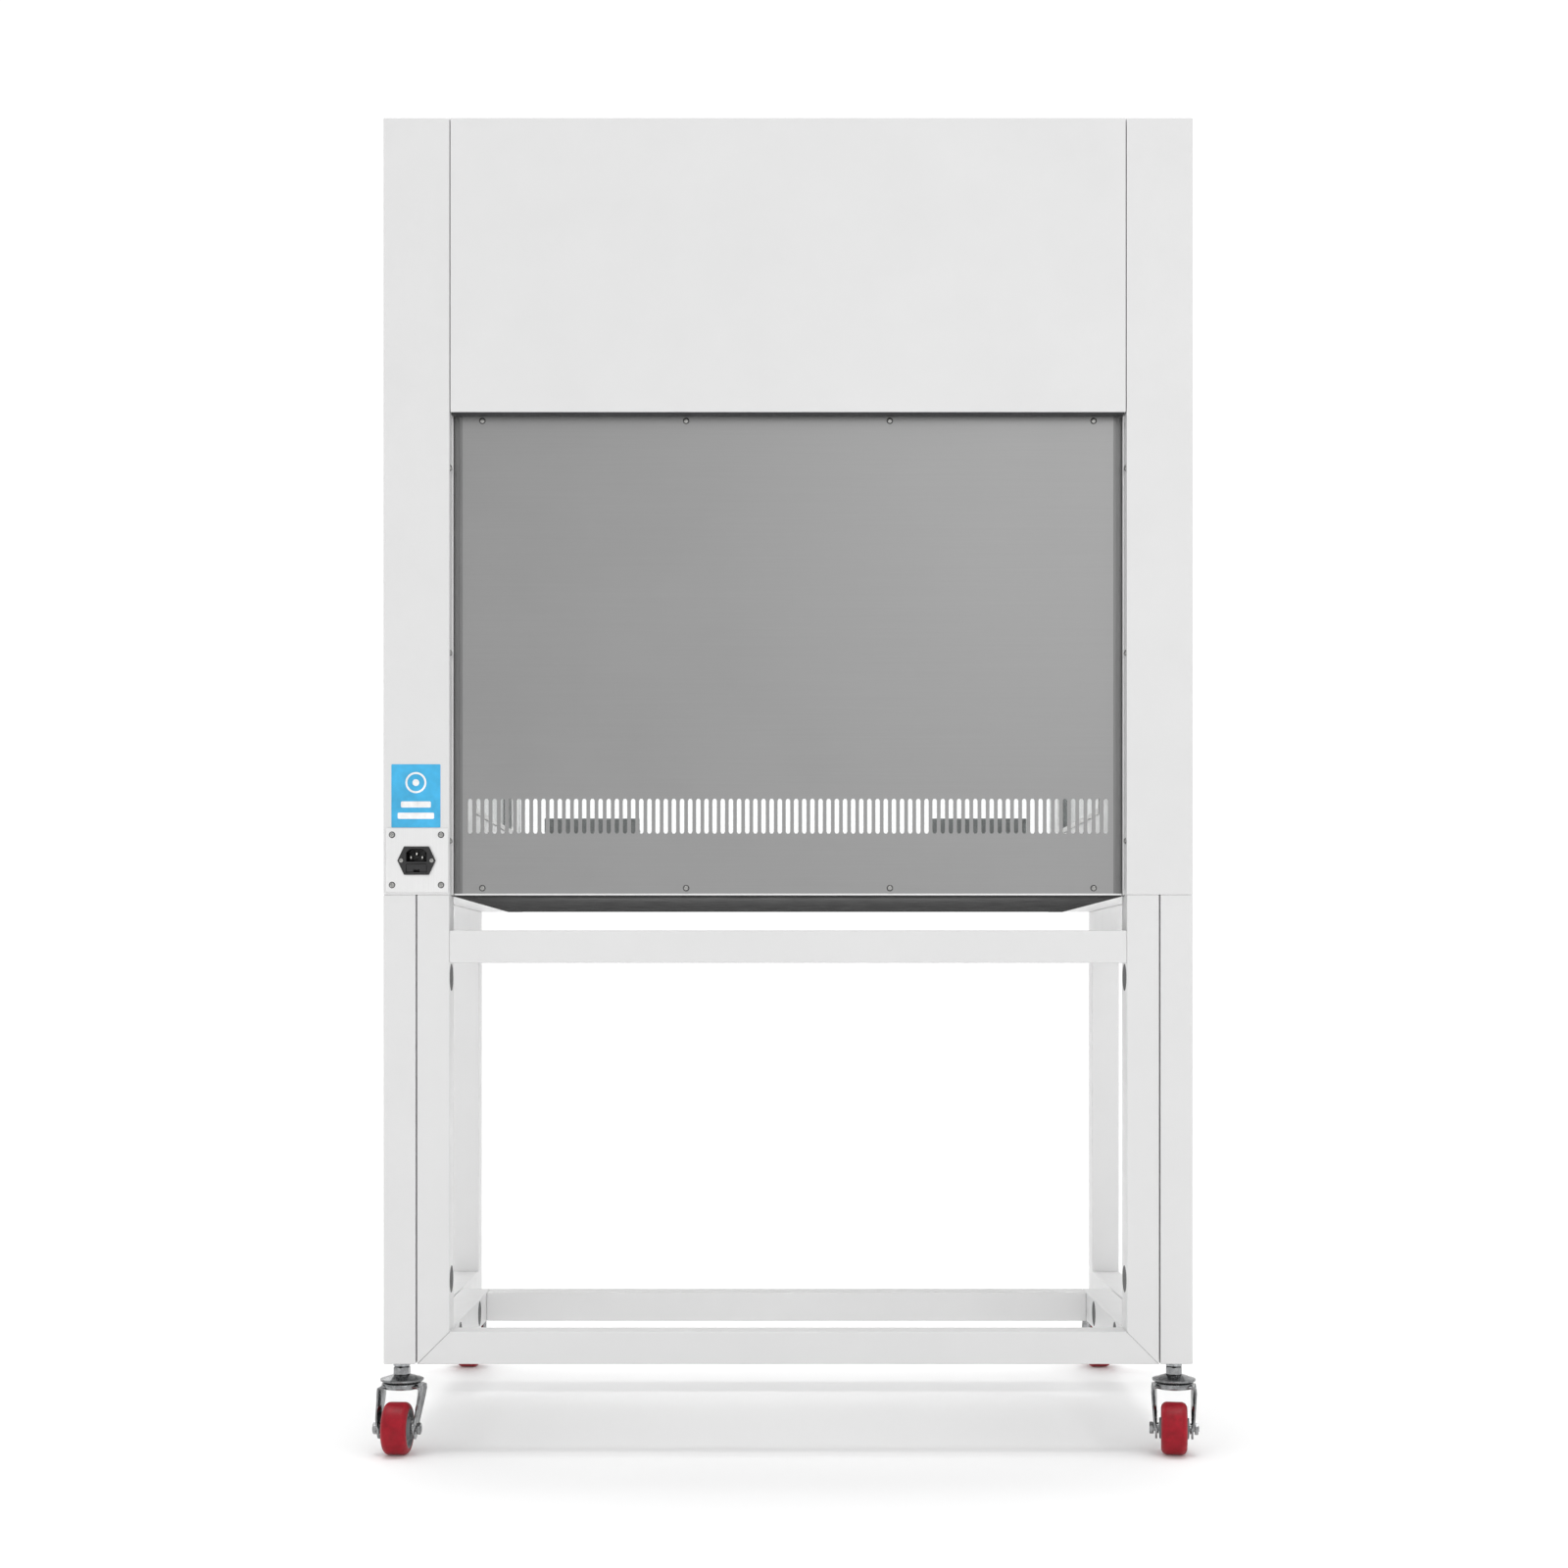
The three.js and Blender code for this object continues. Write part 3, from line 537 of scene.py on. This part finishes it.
def build_world():
    """A white studio: pale behind the subject, and dimmer at the horizon in what the metal reflects."""
    world = bpy.data.worlds.new("studio")
    bpy.context.scene.world = world
    world.use_nodes = True
    tree = world.node_tree
    tree.nodes.clear()
    place = tree.nodes.new("ShaderNodeTexCoord")
    split = tree.nodes.new("ShaderNodeSeparateXYZ")
    ramp = tree.nodes.new("ShaderNodeMapRange")
    ramp.inputs["From Min"].default_value = 0.0
    ramp.inputs["From Max"].default_value = 0.9
    ramp.inputs["To Min"].default_value = 0.83
    ramp.inputs["To Max"].default_value = 0.94
    path = tree.nodes.new("ShaderNodeLightPath")
    room = tree.nodes.new("ShaderNodeBackground")
    backdrop = tree.nodes.new("ShaderNodeBackground")
    backdrop.inputs["Strength"].default_value = 1.1
    mix = tree.nodes.new("ShaderNodeMixShader")
    output = tree.nodes.new("ShaderNodeOutputWorld")
    tree.links.new(place.outputs["Generated"], split.inputs["Vector"])
    tree.links.new(split.outputs["Z"], ramp.inputs["Value"])
    tree.links.new(ramp.outputs["Result"], room.inputs["Strength"])
    tree.links.new(path.outputs["Is Camera Ray"], mix.inputs["Fac"])
    tree.links.new(room.outputs["Background"], mix.inputs[1])
    tree.links.new(backdrop.outputs["Background"], mix.inputs[2])
    tree.links.new(mix.outputs["Shader"], output.inputs["Surface"])
    for node in (room, backdrop):
        node.inputs["Color"].default_value = (1, 1, 1, 1)
    bpy.context.scene.view_settings.view_transform = "Standard"


def area_light(name, place, target, size, power):
    """A softbox at a place, turned to a target; size in metres and power in watts."""
    data = bpy.data.lights.new(name, "AREA")
    data.shape = "RECTANGLE"
    data.size, data.size_y = size
    data.energy = power
    light = linked(name, data)
    light.location = place
    light.rotation_euler = (Vector(target) - Vector(place)).to_track_quat("-Z", "Y").to_euler()
    light.visible_camera = False


def build_lights():
    data = bpy.data.lights.new("overhead", "SUN")
    data.energy = 1.15
    data.angle = math.radians(32)
    overhead = linked("overhead", data)
    overhead.rotation_euler.x = math.radians(-6)
    area_light("softbox_rear", (0.9, -3.6, 2.2), (0, 0, 0.9), (1.8, 1.8), 9)
    area_light("chamber_fill", (0, 0, 1.27), (0, 0, 0.7), (0.7, 0.4), 5)
    area_light("knee_fill", (0, -0.26, 0.62), (0, 0.3, 0.4), (0.7, 0.03), 1.5)
    area_light("softbox_front", (-1.6, 3.6, 2.4), (0, 0, 0.9), (1.8, 1.8), 9)


# ---- Stand ----


def build_stand():
    """The eased tubes, the mitred corners of the rear rail and the bungs in the legs' holes."""
    outer = ("leg_rear", "leg_front", "side_rail_top", "side_rail_bottom", "inner_leg", "base_rail")
    for stem in outer:
        for side in SIDES:
            eased(f"{stem}_{side}", 2.0)
    for node in ("rear_rail_lower", "rear_rail_upper", "foot_rail"):
        eased(node, 2.0)
    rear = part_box("rear_rail_lower")[0]
    rail_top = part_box("rear_rail_lower")[1].z
    for side, sign in SIDES.items():
        leg_low, leg_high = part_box("inner_leg_" + side)
        wall = min(abs(leg_low.x), abs(leg_high.x))
        outer_wall = max(abs(leg_low.x), abs(leg_high.x))
        line = [(sign * outer_wall, rear.z), (sign * wall, rail_top)]
        seam = line + [(x - sign * SEAM_WIDTH, z) for x, z in reversed(line)]
        shape = prism("y", seam, rear.y - 0.0001, rear.y + 0.0004)
        piece("mitre_seam_" + side, shape, RUBBER_AND_SHADE, "root")
        middle_y = (leg_low.y + leg_high.y) / 2
        spots = [(middle_y, z) for z in LEG_HOLE_HEIGHTS]
        spots += [(y, BASE_HOLE_HEIGHT) for y in BASE_HOLE_PLACES]
        for i, (y, z) in enumerate(spots):
            ends = sorted((sign * (wall + 0.0002), sign * (wall + 0.0012)))
            bung = prism("x", circle(y, z, BUNG_RADIUS), *ends)
            piece(f"hole_bung_{side}_{i}", bung, BUNG, "root")


# ---- Casters ----


def hex_nut(flats, low, high, bore, axis="z", centre=(0, 0, 0)):
    """A hexagonal nut or head in millimetres, with the curved chamfer of a turned blank."""
    apothem = flats / 2
    shape = bmesh.new()
    steps = 36
    slope = math.tan(math.radians(28))
    turns = {"z": Matrix.Rotation(math.pi / 6, 3, "Z"), "x": Matrix.Rotation(math.pi / 2, 3, "Y")}
    rings = [[] for _ in range(6)]
    for i in range(steps):
        angle = 2 * math.pi * i / steps
        reach = apothem / math.cos((angle % (math.pi / 3)) - math.pi / 6)
        inner = apothem * 0.94
        drop = (reach - inner) * slope
        levels = (
            (bore, low),
            (inner, low),
            (reach, low + drop),
            (reach, high - drop),
            (inner, high),
            (bore, high),
        )
        for ring, (r, h) in zip(rings, levels):
            spot = turns[axis] @ Vector((r * math.cos(angle), r * math.sin(angle), h)) * MM
            ring.append(shape.verts.new(spot + Vector(centre)))
    rings.append(rings[0])
    ring_faces(shape, rings)
    bmesh.ops.remove_doubles(shape, verts=shape.verts, dist=1e-6)
    return shape


def threaded(radius, low, high, pitch=1.5, bore=0.0):
    """The flank profile of a thread, as (radius, height) pairs from the axis and back."""
    profile = [(bore, low)]
    turns = int((high - low) / pitch)
    for i in range(turns):
        foot = low + i * pitch
        profile += [(radius - 0.7, foot), (radius, foot + pitch * 0.45), (radius, foot + pitch * 0.6)]
    profile += [(radius - 0.7, high), (bore, high)]
    return profile


def joined(*shapes):
    """One bmesh holding the faces of several."""
    whole = bmesh.new()
    for shape in shapes:
        mesh = mesh_from(shape, "part")
        whole.from_mesh(mesh)
        bpy.data.meshes.remove(mesh)
    return whole


def fork_sheet(trail, axle_height):
    """The pressed fork, in millimetres: a strip folded down both sides of the wheel.

    Its edges curl outwards by flare down the arms and downwards by drop under the disc, and the
    arms draw in from the crown, which is rear and front of the stem, to round feet at the axle.
    """
    top, bend, reach = 85.2, 5.0, 21.9
    shoulder, flare, drop = 79.0, 5.2, 4.5
    crown_rear, crown_front = 19, 20
    foot_radius = 13.0
    straight_top, bend_foot = 68, 75
    centre_line = []
    for i in range(9):
        z = axle_height - foot_radius * math.cos(math.pi / 2 * i / 8)
        centre_line.append((reach, z))
    for i in range(1, 9):
        z = axle_height + (straight_top - axle_height) * i / 8
        centre_line.append((reach, z))
    centre_line.append((reach, bend_foot))
    centre_line += arc(reach - bend, top - bend, bend, 0, 90, 6)
    centre_line += [(12, top), (4, top)]
    strip = centre_line + [(-x, z) for x, z in reversed(centre_line)]
    shape = bmesh.new()
    columns = []
    for x, z in strip:
        climb = min(1.0, max(0.0, (z - axle_height) / (shoulder - axle_height)))
        if z < axle_height:
            wide = math.sqrt(max(0.6, foot_radius**2 - (axle_height - z) ** 2))
            rear, front = -trail - wide, -trail + wide
        else:
            sweep = climb * climb * (3 - 2 * climb)
            rear = -trail - foot_radius + (trail + foot_radius - crown_rear) * sweep
            widening = (crown_front + trail - foot_radius) * (0.35 * climb + 0.65 * sweep)
            front = -trail + foot_radius + widening
        if abs(x) < 20:
            edge = math.sqrt(max(0, CASTER_DISC_RADIUS**2 - x**2))
            rear, front = max(rear, -edge), min(front, edge)
        fold = min(1.0, max(0.0, (top - z) / (top - shoulder)))
        out = flare * math.sqrt(climb) * fold
        down = drop * (1 - fold)
        column = []
        for i in range(13):
            share = i / 12
            curl = abs(2 * share - 1) ** 3
            spot = (x + math.copysign(out * curl, x), rear + (front - rear) * share, z - down * curl)
            column.append(shape.verts.new(Vector(spot) * MM))
        columns.append(column)
    ring_faces(shape, columns, closed=False)
    return shape


def build_caster(corner):
    """The stem, fork, axle and wheel of one caster, in place of its plain CAD solids."""
    joints = {j["name"]: j for j in frame["joints"]}
    pivot = Vector(joints["swivel_" + corner]["pos_m"])
    hub = Vector(joints["wheel_spin_" + corner]["pos_m"])
    axle = Vector(joints["wheel_spin_" + corner]["axis"])
    turn = Matrix.Rotation(math.atan2(axle.y, axle.x), 4, "Z")
    turn = Matrix.Translation((pivot.x, pivot.y, 0)) @ turn
    trail = (Vector((hub.x, hub.y, 0)) - Vector((pivot.x, pivot.y, 0))).length / MM
    height = hub.z / MM
    centre = (0, -trail * MM, hub.z)
    fork_body, wheel_body = "fork_" + corner, "wheel_" + corner
    leg_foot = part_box("leg_" + corner)[0].z / MM

    def add(name, shape, material, body, smooth=35.0):
        """A piece drawn about the stem with its axle along X, turned to this caster's heading."""
        made = piece(f"{name}_{corner}", shape, material, body, smooth)
        made.data.transform(turn)
        return made

    # Root: the domed disc, the two nuts and the threaded stem.
    disc = lathe(
        [(0, 88.4), (24.6, 88.4), (25.6, 87.0), (26.6, 87.2)]
        + [(CASTER_DISC_RADIUS, 88.2), (26.7, 89.3), (25.2, 90.1)]
        + [(21, 90.9), (17.5, 92.6), (14.5, 93.3), (11, 94.6), (0, 94.8)],
        72,
    )
    stem = lathe(threaded(6, 94, leg_foot + 22), 32)
    nut = hex_nut(NUT_ACROSS, 94.8, 104.4, 5.4)
    jam = hex_nut(NUT_ACROSS + 0.4, 105.0, leg_foot - 0.4, 5.4)
    plate = add("caster_disc", joined(disc, stem), LOOKS["chrome"], "root")
    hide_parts("caster_stem_" + corner)
    add("caster_nut", nut, LOOKS["chrome"], "root", 20)
    add("caster_locknut", jam, BEARING, "root", 20)

    # Fork: the sheet, its ball race and the axle bolt.
    sheet = add("caster_fork_sheet", fork_sheet(trail, height), LOOKS["chrome"], fork_body, 60)
    thick = sheet.modifiers.new("sheet", "SOLIDIFY")
    thick.thickness = 2.4 * MM
    thick.offset = 0
    thick.use_even_offset = True
    soft = sheet.modifiers.new("soft", "BEVEL")
    soft.width = 0.5 * MM
    soft.segments = 2
    soft.limit_method = "ANGLE"
    soft.angle_limit = math.radians(50)
    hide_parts("caster_fork_" + corner)
    cup = lathe(
        [(8, 79.5), (19, 78.2), (22.6, 77.6), (24.4, 78.6), (25.2, 80.6), (25.0, 83.2), (23.6, 85.2)]
        + [(21.6, 86.4), (8, 86.5)],
        72,
    )
    add("caster_race", cup, LOOKS["chrome"], fork_body)
    # A dark ring between the disc and the cup: painted shade in the ball race's gap.
    race_gap = lathe([(9, 86.2), (22.8, 86.2), (23.2, 86.9), (22.8, 88.2), (9, 88.2)], 48)
    add("caster_race_gap_shade", race_gap, RUBBER_AND_SHADE, fork_body)
    bolt = joined(
        lathe([(0, -29.0), (2.9, -29.0), (4, -28.0), (4, 29.4), (3.2, 30.2), (0, 30.2)], 32, "x", centre),
        hex_nut(13, -30.2, -25.4, 3.9, "x", centre),
        hex_nut(13, 25.4, 29.4, 3.9, "x", centre),
        lathe([(4, -25.4), (7.6, -25.4), (7.6, -24.8), (4, -24.8)], 32, "x", centre),
        lathe([(4, 24.8), (7.6, 24.8), (7.6, 25.4), (4, 25.4)], 32, "x", centre),
        lathe([(4, -22.2), (6.4, -22.2), (6.8, -18.8), (4, -18.8)], 32, "x", centre),
        lathe([(4, 18.8), (6.8, 18.8), (6.4, 22.2), (4, 22.2)], 32, "x", centre),
    )
    axle_bolt = add("caster_bolt", bolt, LOOKS["chrome"], fork_body, 25)
    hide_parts("caster_axle_" + corner)

    # Wheel: the tyre, its core with a dished web, and the bearings.
    half_width, shoulder = 16.0, 7.6
    half = [(24.2, 13.3), (24.3, 15.0), (24.6, 15.9)]
    half += arc(height - shoulder, half_width - shoulder, shoulder, 84, 4, 10)
    half += [(height, 5)]
    tyre = lathe(mirrored(half), 128, "x", centre)
    tyre_piece = add("caster_tyre", tyre, LOOKS["wheel_tread"], wheel_body, 50)
    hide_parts("caster_wheel_" + corner)
    web = [(10.2, 14), (10.4, 17.6), (11.2, 18.2), (12.6, 18.0), (13.4, 15.4), (15, 12.6), (20.5, 12.4)]
    web += [(21.8, 14.2), (22.4, 15.6), (23.4, 15.9), (24.3, 15.2), (24.3, 13.4)]
    add("caster_core", lathe(mirrored(web), 96, "x", centre), WHEEL_CORE, wheel_body)
    race = [(4.6, 12), (4.6, 18.1), (6.2, 18.3), (6.6, 17.6)]
    race += [(8.6, 17.5), (9.0, 18.2), (10.2, 18.1), (10.2, 12)]
    for end, sign in (("inner", -1), ("outer", 1)):
        bearing = lathe([(r, h * sign) for r, h in race], 48, "x", centre)
        add("caster_bearing_" + end, bearing, BEARING, wheel_body)


# ---- Screws ----


def screw_mesh(name, radius, height):
    """A pan-head screw with a cross recess, its head standing along -Y, in millimetres."""
    profile = [(0, -1.0), (radius * 0.5, -1.0), (radius * 0.5, 0), (radius, 0)]
    for across, up in ((1.0, 0.35), (0.9, 0.72), (0.7, 0.92), (0.4, 1.0), (0.0, 1.0)):
        profile.append((radius * across, height * up))
    head = linked("head", mesh_from(lathe(profile, 32), name))
    arms = []
    for x, y in ((0.62, 0.16), (0.16, 0.62)):
        arm = bmesh.new()
        bmesh.ops.create_cube(arm, size=1)
        size = Vector((2 * x * radius, 2 * y * radius, height * 1.1)) * MM
        bmesh.ops.scale(arm, vec=size, verts=arm.verts)
        bmesh.ops.translate(arm, vec=(0, 0, height * MM), verts=arm.verts)
        tool = linked("arm", mesh_from(arm, "arm"))
        cutter = head.modifiers.new("cross", "BOOLEAN")
        cutter.operation = "DIFFERENCE"
        cutter.solver = "EXACT"
        cutter.object = tool
        arms.append(tool)
    evaluated = head.evaluated_get(bpy.context.evaluated_depsgraph_get())
    made = bpy.data.meshes.new_from_object(evaluated)
    for extra in (head, *arms):
        bpy.data.objects.remove(extra)
    made.name = name
    made.transform(Matrix.Rotation(math.pi / 2, 4, "X"))
    return shaded(made, SCREW)


def put_screw(name, mesh, shadow_ring, place, facing=0.0, spin=0.0):
    """A screw whose head faces -Y, turned about Z by facing and about its own axis by spin."""
    matrix = Matrix.Rotation(facing, 4, "Z") @ Matrix.Rotation(spin, 4, "Y")
    matrix = Matrix.Translation(place) @ matrix
    placed(name, mesh, "root", matrix)
    # A dark ring of painted shadow round the head.
    if shadow_ring:
        placed(name + "_washer", shadow_ring, "root", matrix)


def shadow_ring_mesh(name, radius):
    """A dark ring round a screw head, in millimetres: painted shadow where the head sits on the sheet."""
    bore = radius * 0.6
    profile = [(bore, -0.5), (radius, -0.5), (radius, 0.15), (radius * 0.9, 0.3), (bore, 0.3)]
    mesh = mesh_from(lathe(profile, 32), name)
    mesh.transform(Matrix.Rotation(math.pi / 2, 4, "X"))
    return shaded(mesh, RUBBER_AND_SHADE)


def build_screws():
    panel = screw_mesh("panel_screw", 3.2, 2.0)
    shadow_ring = shadow_ring_mesh("screw_shadow_ring", 4.0)
    low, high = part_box("back_panel")
    for row, z in (("top", high.z - 0.006), ("bottom", low.z + 0.009)):
        for i in range(4):
            x = -SCREW_ROW_HALF + 2 * SCREW_ROW_HALF * i / 3
            put_screw(f"panel_screw_{row}_{i}", panel, shadow_ring, (x, low.y, z), 0, 0.5 + 1.7 * i)
    for side, sign in SIDES.items():
        wall = high.x + 0.0005
        for i, up in enumerate(REVEAL_SCREW_HEIGHTS):
            place = (sign * wall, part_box("rear_cover")[0].y + 0.009, low.z + up)
            facing = -sign * math.pi / 2
            put_screw(f"reveal_screw_{side}_{i}", panel, shadow_ring, place, facing, 0.4 + i)
    plate_low, plate_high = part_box("inlet_plate")
    for i, x in enumerate((plate_low.x + 0.008, plate_high.x - 0.009)):
        for j, z in enumerate((plate_low.z + 0.009, plate_high.z - 0.008)):
            place = (x, plate_low.y, z)
            put_screw(f"plate_screw_{i}_{j}", panel, shadow_ring, place, 0, 0.9 * i + 1.3 * j)
    small = screw_mesh("inlet_screw", 2.7, 1.6)
    body_low, body_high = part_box("inlet_body")
    middle = (body_low + body_high) / 2
    for side, sign in SIDES.items():
        place = (middle.x + sign * 0.0188, body_low.y, middle.z)
        put_screw("inlet_screw_" + side, small, None, place, 0, 0.6 * sign)


# ---- Cabinet ----


def build_cabinet():
    for side in SIDES:
        eased("side_casing_" + side, 1.2)
    eased("rear_cover", 1.0)
    eased("front_apron", 1.2)
    eased("front_fascia", 1.0)
    eased("top_cover", 0.6, 2)
    eased("inlet_plate", 0.5, 2)
    eased("control_panel", 1.2, 3)
    eased("inlet_body", 0.5, 2)
    eased("fuse_drawer", 0.5, 2)
    for side in SIDES:
        eased("sash_handle_" + side, 1.2, 3, outer_only=False)


def build_opening_seals():
    """The folds and lips along the rear panel's sides and foot, with painted shade on the groove strips
    and the panel's edges, and a dark strip of painted shade under its cover.
    """
    low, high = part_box("back_panel")
    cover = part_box("rear_cover")[0]
    face = low.y
    bright = LOOKS["brushed_plate"]
    # Name, inner and outer edge, near and far side of the panel's face, corner radius, steps.
    uprights = (
        # The groove strip and the panel edge are dark steel, painted shade where the groove lies in
        # shadow.
        ("groove_shade_strip_", high.x - 0.0118, high.x - 0.0022, 0.0052, 0.0064, 0.0005, 2, GROOVE_SHADE),
        ("panel_edge_", PANEL_HALF - 0.0034, PANEL_HALF, -0.0001, 0.0001, 0.0001, 1, GROOVE_SHADE),
        ("reveal_lip_", high.x - 0.0019, high.x + 0.0002, -0.001, 0.004, 0.0005, 3, bright),
    )
    for side, sign in SIDES.items():
        for name, inner, outer, near, far, corner, steps, look in uprights:
            x0, x1 = sorted((sign * inner, sign * outer))
            outline = rounded_outline(x0, x1, face + near, face + far, corner, steps)
            piece(name + side, prism("z", outline, low.z, high.z), look, "root")
    half = high.x - 0.003
    foot = rounded_outline(face - 0.0010, face + 0.0002, low.z, low.z + 0.0022, 0.0005, 3)
    piece("panel_foot_lip", prism("x", foot, -half, half), bright, "root")
    half = high.x - 0.002
    top, bottom = cover.z - 0.0001, cover.z - 0.0014
    # A thin dark strip under the rear cover: painted shade where the cover's lower edge is in shadow.
    seal = rounded_outline(cover.y + 0.0012, face - 0.0003, bottom, top, 0.0006, 2)
    piece("cover_shade_strip", prism("x", seal, -half, half), RUBBER_AND_SHADE, "root")


def build_pan_shade_strips():
    """A dark sheet along each side of the pan, lapping the underside of each casing: painted shade under
    the cabinet.
    """
    low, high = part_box("bottom_pan")
    for side, sign in SIDES.items():
        x0, x1 = sorted((sign * (high.x - 0.001), sign * (high.x + PAN_SHADE_LAP)))
        outline = [(x0, low.y), (x1, low.y), (x1, high.y), (x0, high.y)]
        shape = prism("z", outline, low.z - 0.0003, low.z + 0.0002)
        piece("pan_shade_strip_" + side, shape, UNDERSIDE_SHADE, "root")


def build_windows():
    """A rubber frame round each side window, inside and out."""
    for side, sign in SIDES.items():
        low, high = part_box("side_window_" + side)
        casing_low, casing_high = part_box("side_casing_" + side)
        outlines = []
        for inset, corner in ((0.0002, 0.001), (WINDOW_SEAL_LAP, 0.008)):
            y0, y1, z0, z1 = low.y + inset, high.y - inset, low.z + inset, high.z - inset
            outlines.append(rounded_outline(y0, y1, z0, z1, corner))
        inner_edge = min(abs(casing_low.x), abs(casing_high.x))
        pane_in, pane_out = sorted((abs(low.x), abs(high.x)))
        for name, a, b, look in (
            ("outer", pane_out + 0.0002, pane_out + 0.0072, RUBBER_AND_SHADE),
            ("inner", inner_edge - 0.001, pane_in - 0.0002, GASKET),
        ):
            start, end = sorted((a * sign, b * sign))
            shape = frame_ring("x", *outlines, start, end)
            piece(f"window_seal_{side}_{name}", shape, look, "root")


# ---- Inlet, label and controls ----


def build_inlet():
    """The three pins of the mains inlet: two level, and the earth pin above them."""
    low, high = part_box("inlet_body")
    middle = (low + high) / 2
    for i, (dx, dz) in enumerate(((-0.007, 0.004), (0.007, 0.004), (0.0, 0.0085))):
        x, z = middle.x + dx, middle.z + dz
        outline = rounded_outline(x - 0.0008, x + 0.0008, z - 0.0014, z + 0.0014, 0.0004, 2)
        pin = prism("y", outline, low.y + 0.0026, low.y + 0.0175, 0.0003)
        piece(f"inlet_pin_{i}", pin, PIN, "root")


def build_sticker():
    """A plain blue label with a generic ring and bars."""
    plate_low, plate_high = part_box("inlet_plate")
    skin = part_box("rear_cover")[0].y
    x0, x1 = plate_low.x + 0.007, plate_low.x + 0.0676
    z0, z1 = plate_high.z + 0.001, plate_high.z + 0.0792
    face = skin - 0.0003
    sheet = prism("y", rounded_outline(x0, x1, z0, z1, 0.0012, 3), face, skin - 0.00002)
    piece("label_sheet", sheet, STICKER, "root")
    cx = (x0 + x1) / 2
    ring_z = z0 + 0.0555
    printed = (face - 0.0001, face)
    ring = frame_ring("y", circle(cx, ring_z, 13), circle(cx, ring_z, 10.6), *printed)
    piece("label_ring", ring, MARK, "root")
    dot = prism("y", circle(cx, ring_z, 4.2, 30), *printed)
    piece("label_dot", dot, MARK, "root")
    for i, (half, z) in enumerate(((0.0185, z0 + 0.0285), (0.0225, z0 + 0.0145))):
        bar = rounded_outline(cx - half, cx + half, z - 0.0038, z + 0.0038, 0.0015, 3)
        piece(f"label_bar_{i}", prism("y", bar, *printed), MARK, "root")


def build_controls():
    """The display and the bezels round the buttons."""
    low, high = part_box("control_panel")
    z = (low.z + high.z) / 2
    outline = rounded_outline(-0.055, 0.025, z - 0.018, z + 0.018, 0.003)
    screen = prism("y", outline, high.y - 0.0004, high.y + 0.0006, 0.0002)
    piece("control_screen", screen, SCREEN, "root")
    for name in ("power_button", "fan_button", "light_button"):
        b_low, b_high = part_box(name)
        x = (b_low.x + b_high.x) / 2
        ring = [(9.0, 0), (10.6, 0), (10.8, 0.5), (10.2, 1.0), (9.2, 1.0), (9.0, 0.6)]
        shape = lathe([(r, -h) for r, h in ring], 48, "y", (x, high.y, z))
        piece(name + "_bezel", shape, LOOKS["chrome"], "root")
        eased(name, 0.8, 3, outer_only=False)


build_camera()
build_world()
build_lights()
build_floor()
dress_cad_nodes()
build_stand()
for corner in CORNERS:
    build_caster(corner)
build_cabinet()
build_opening_seals()
build_pan_shade_strips()
build_windows()
build_screws()
build_inlet()
build_sticker()
build_controls()
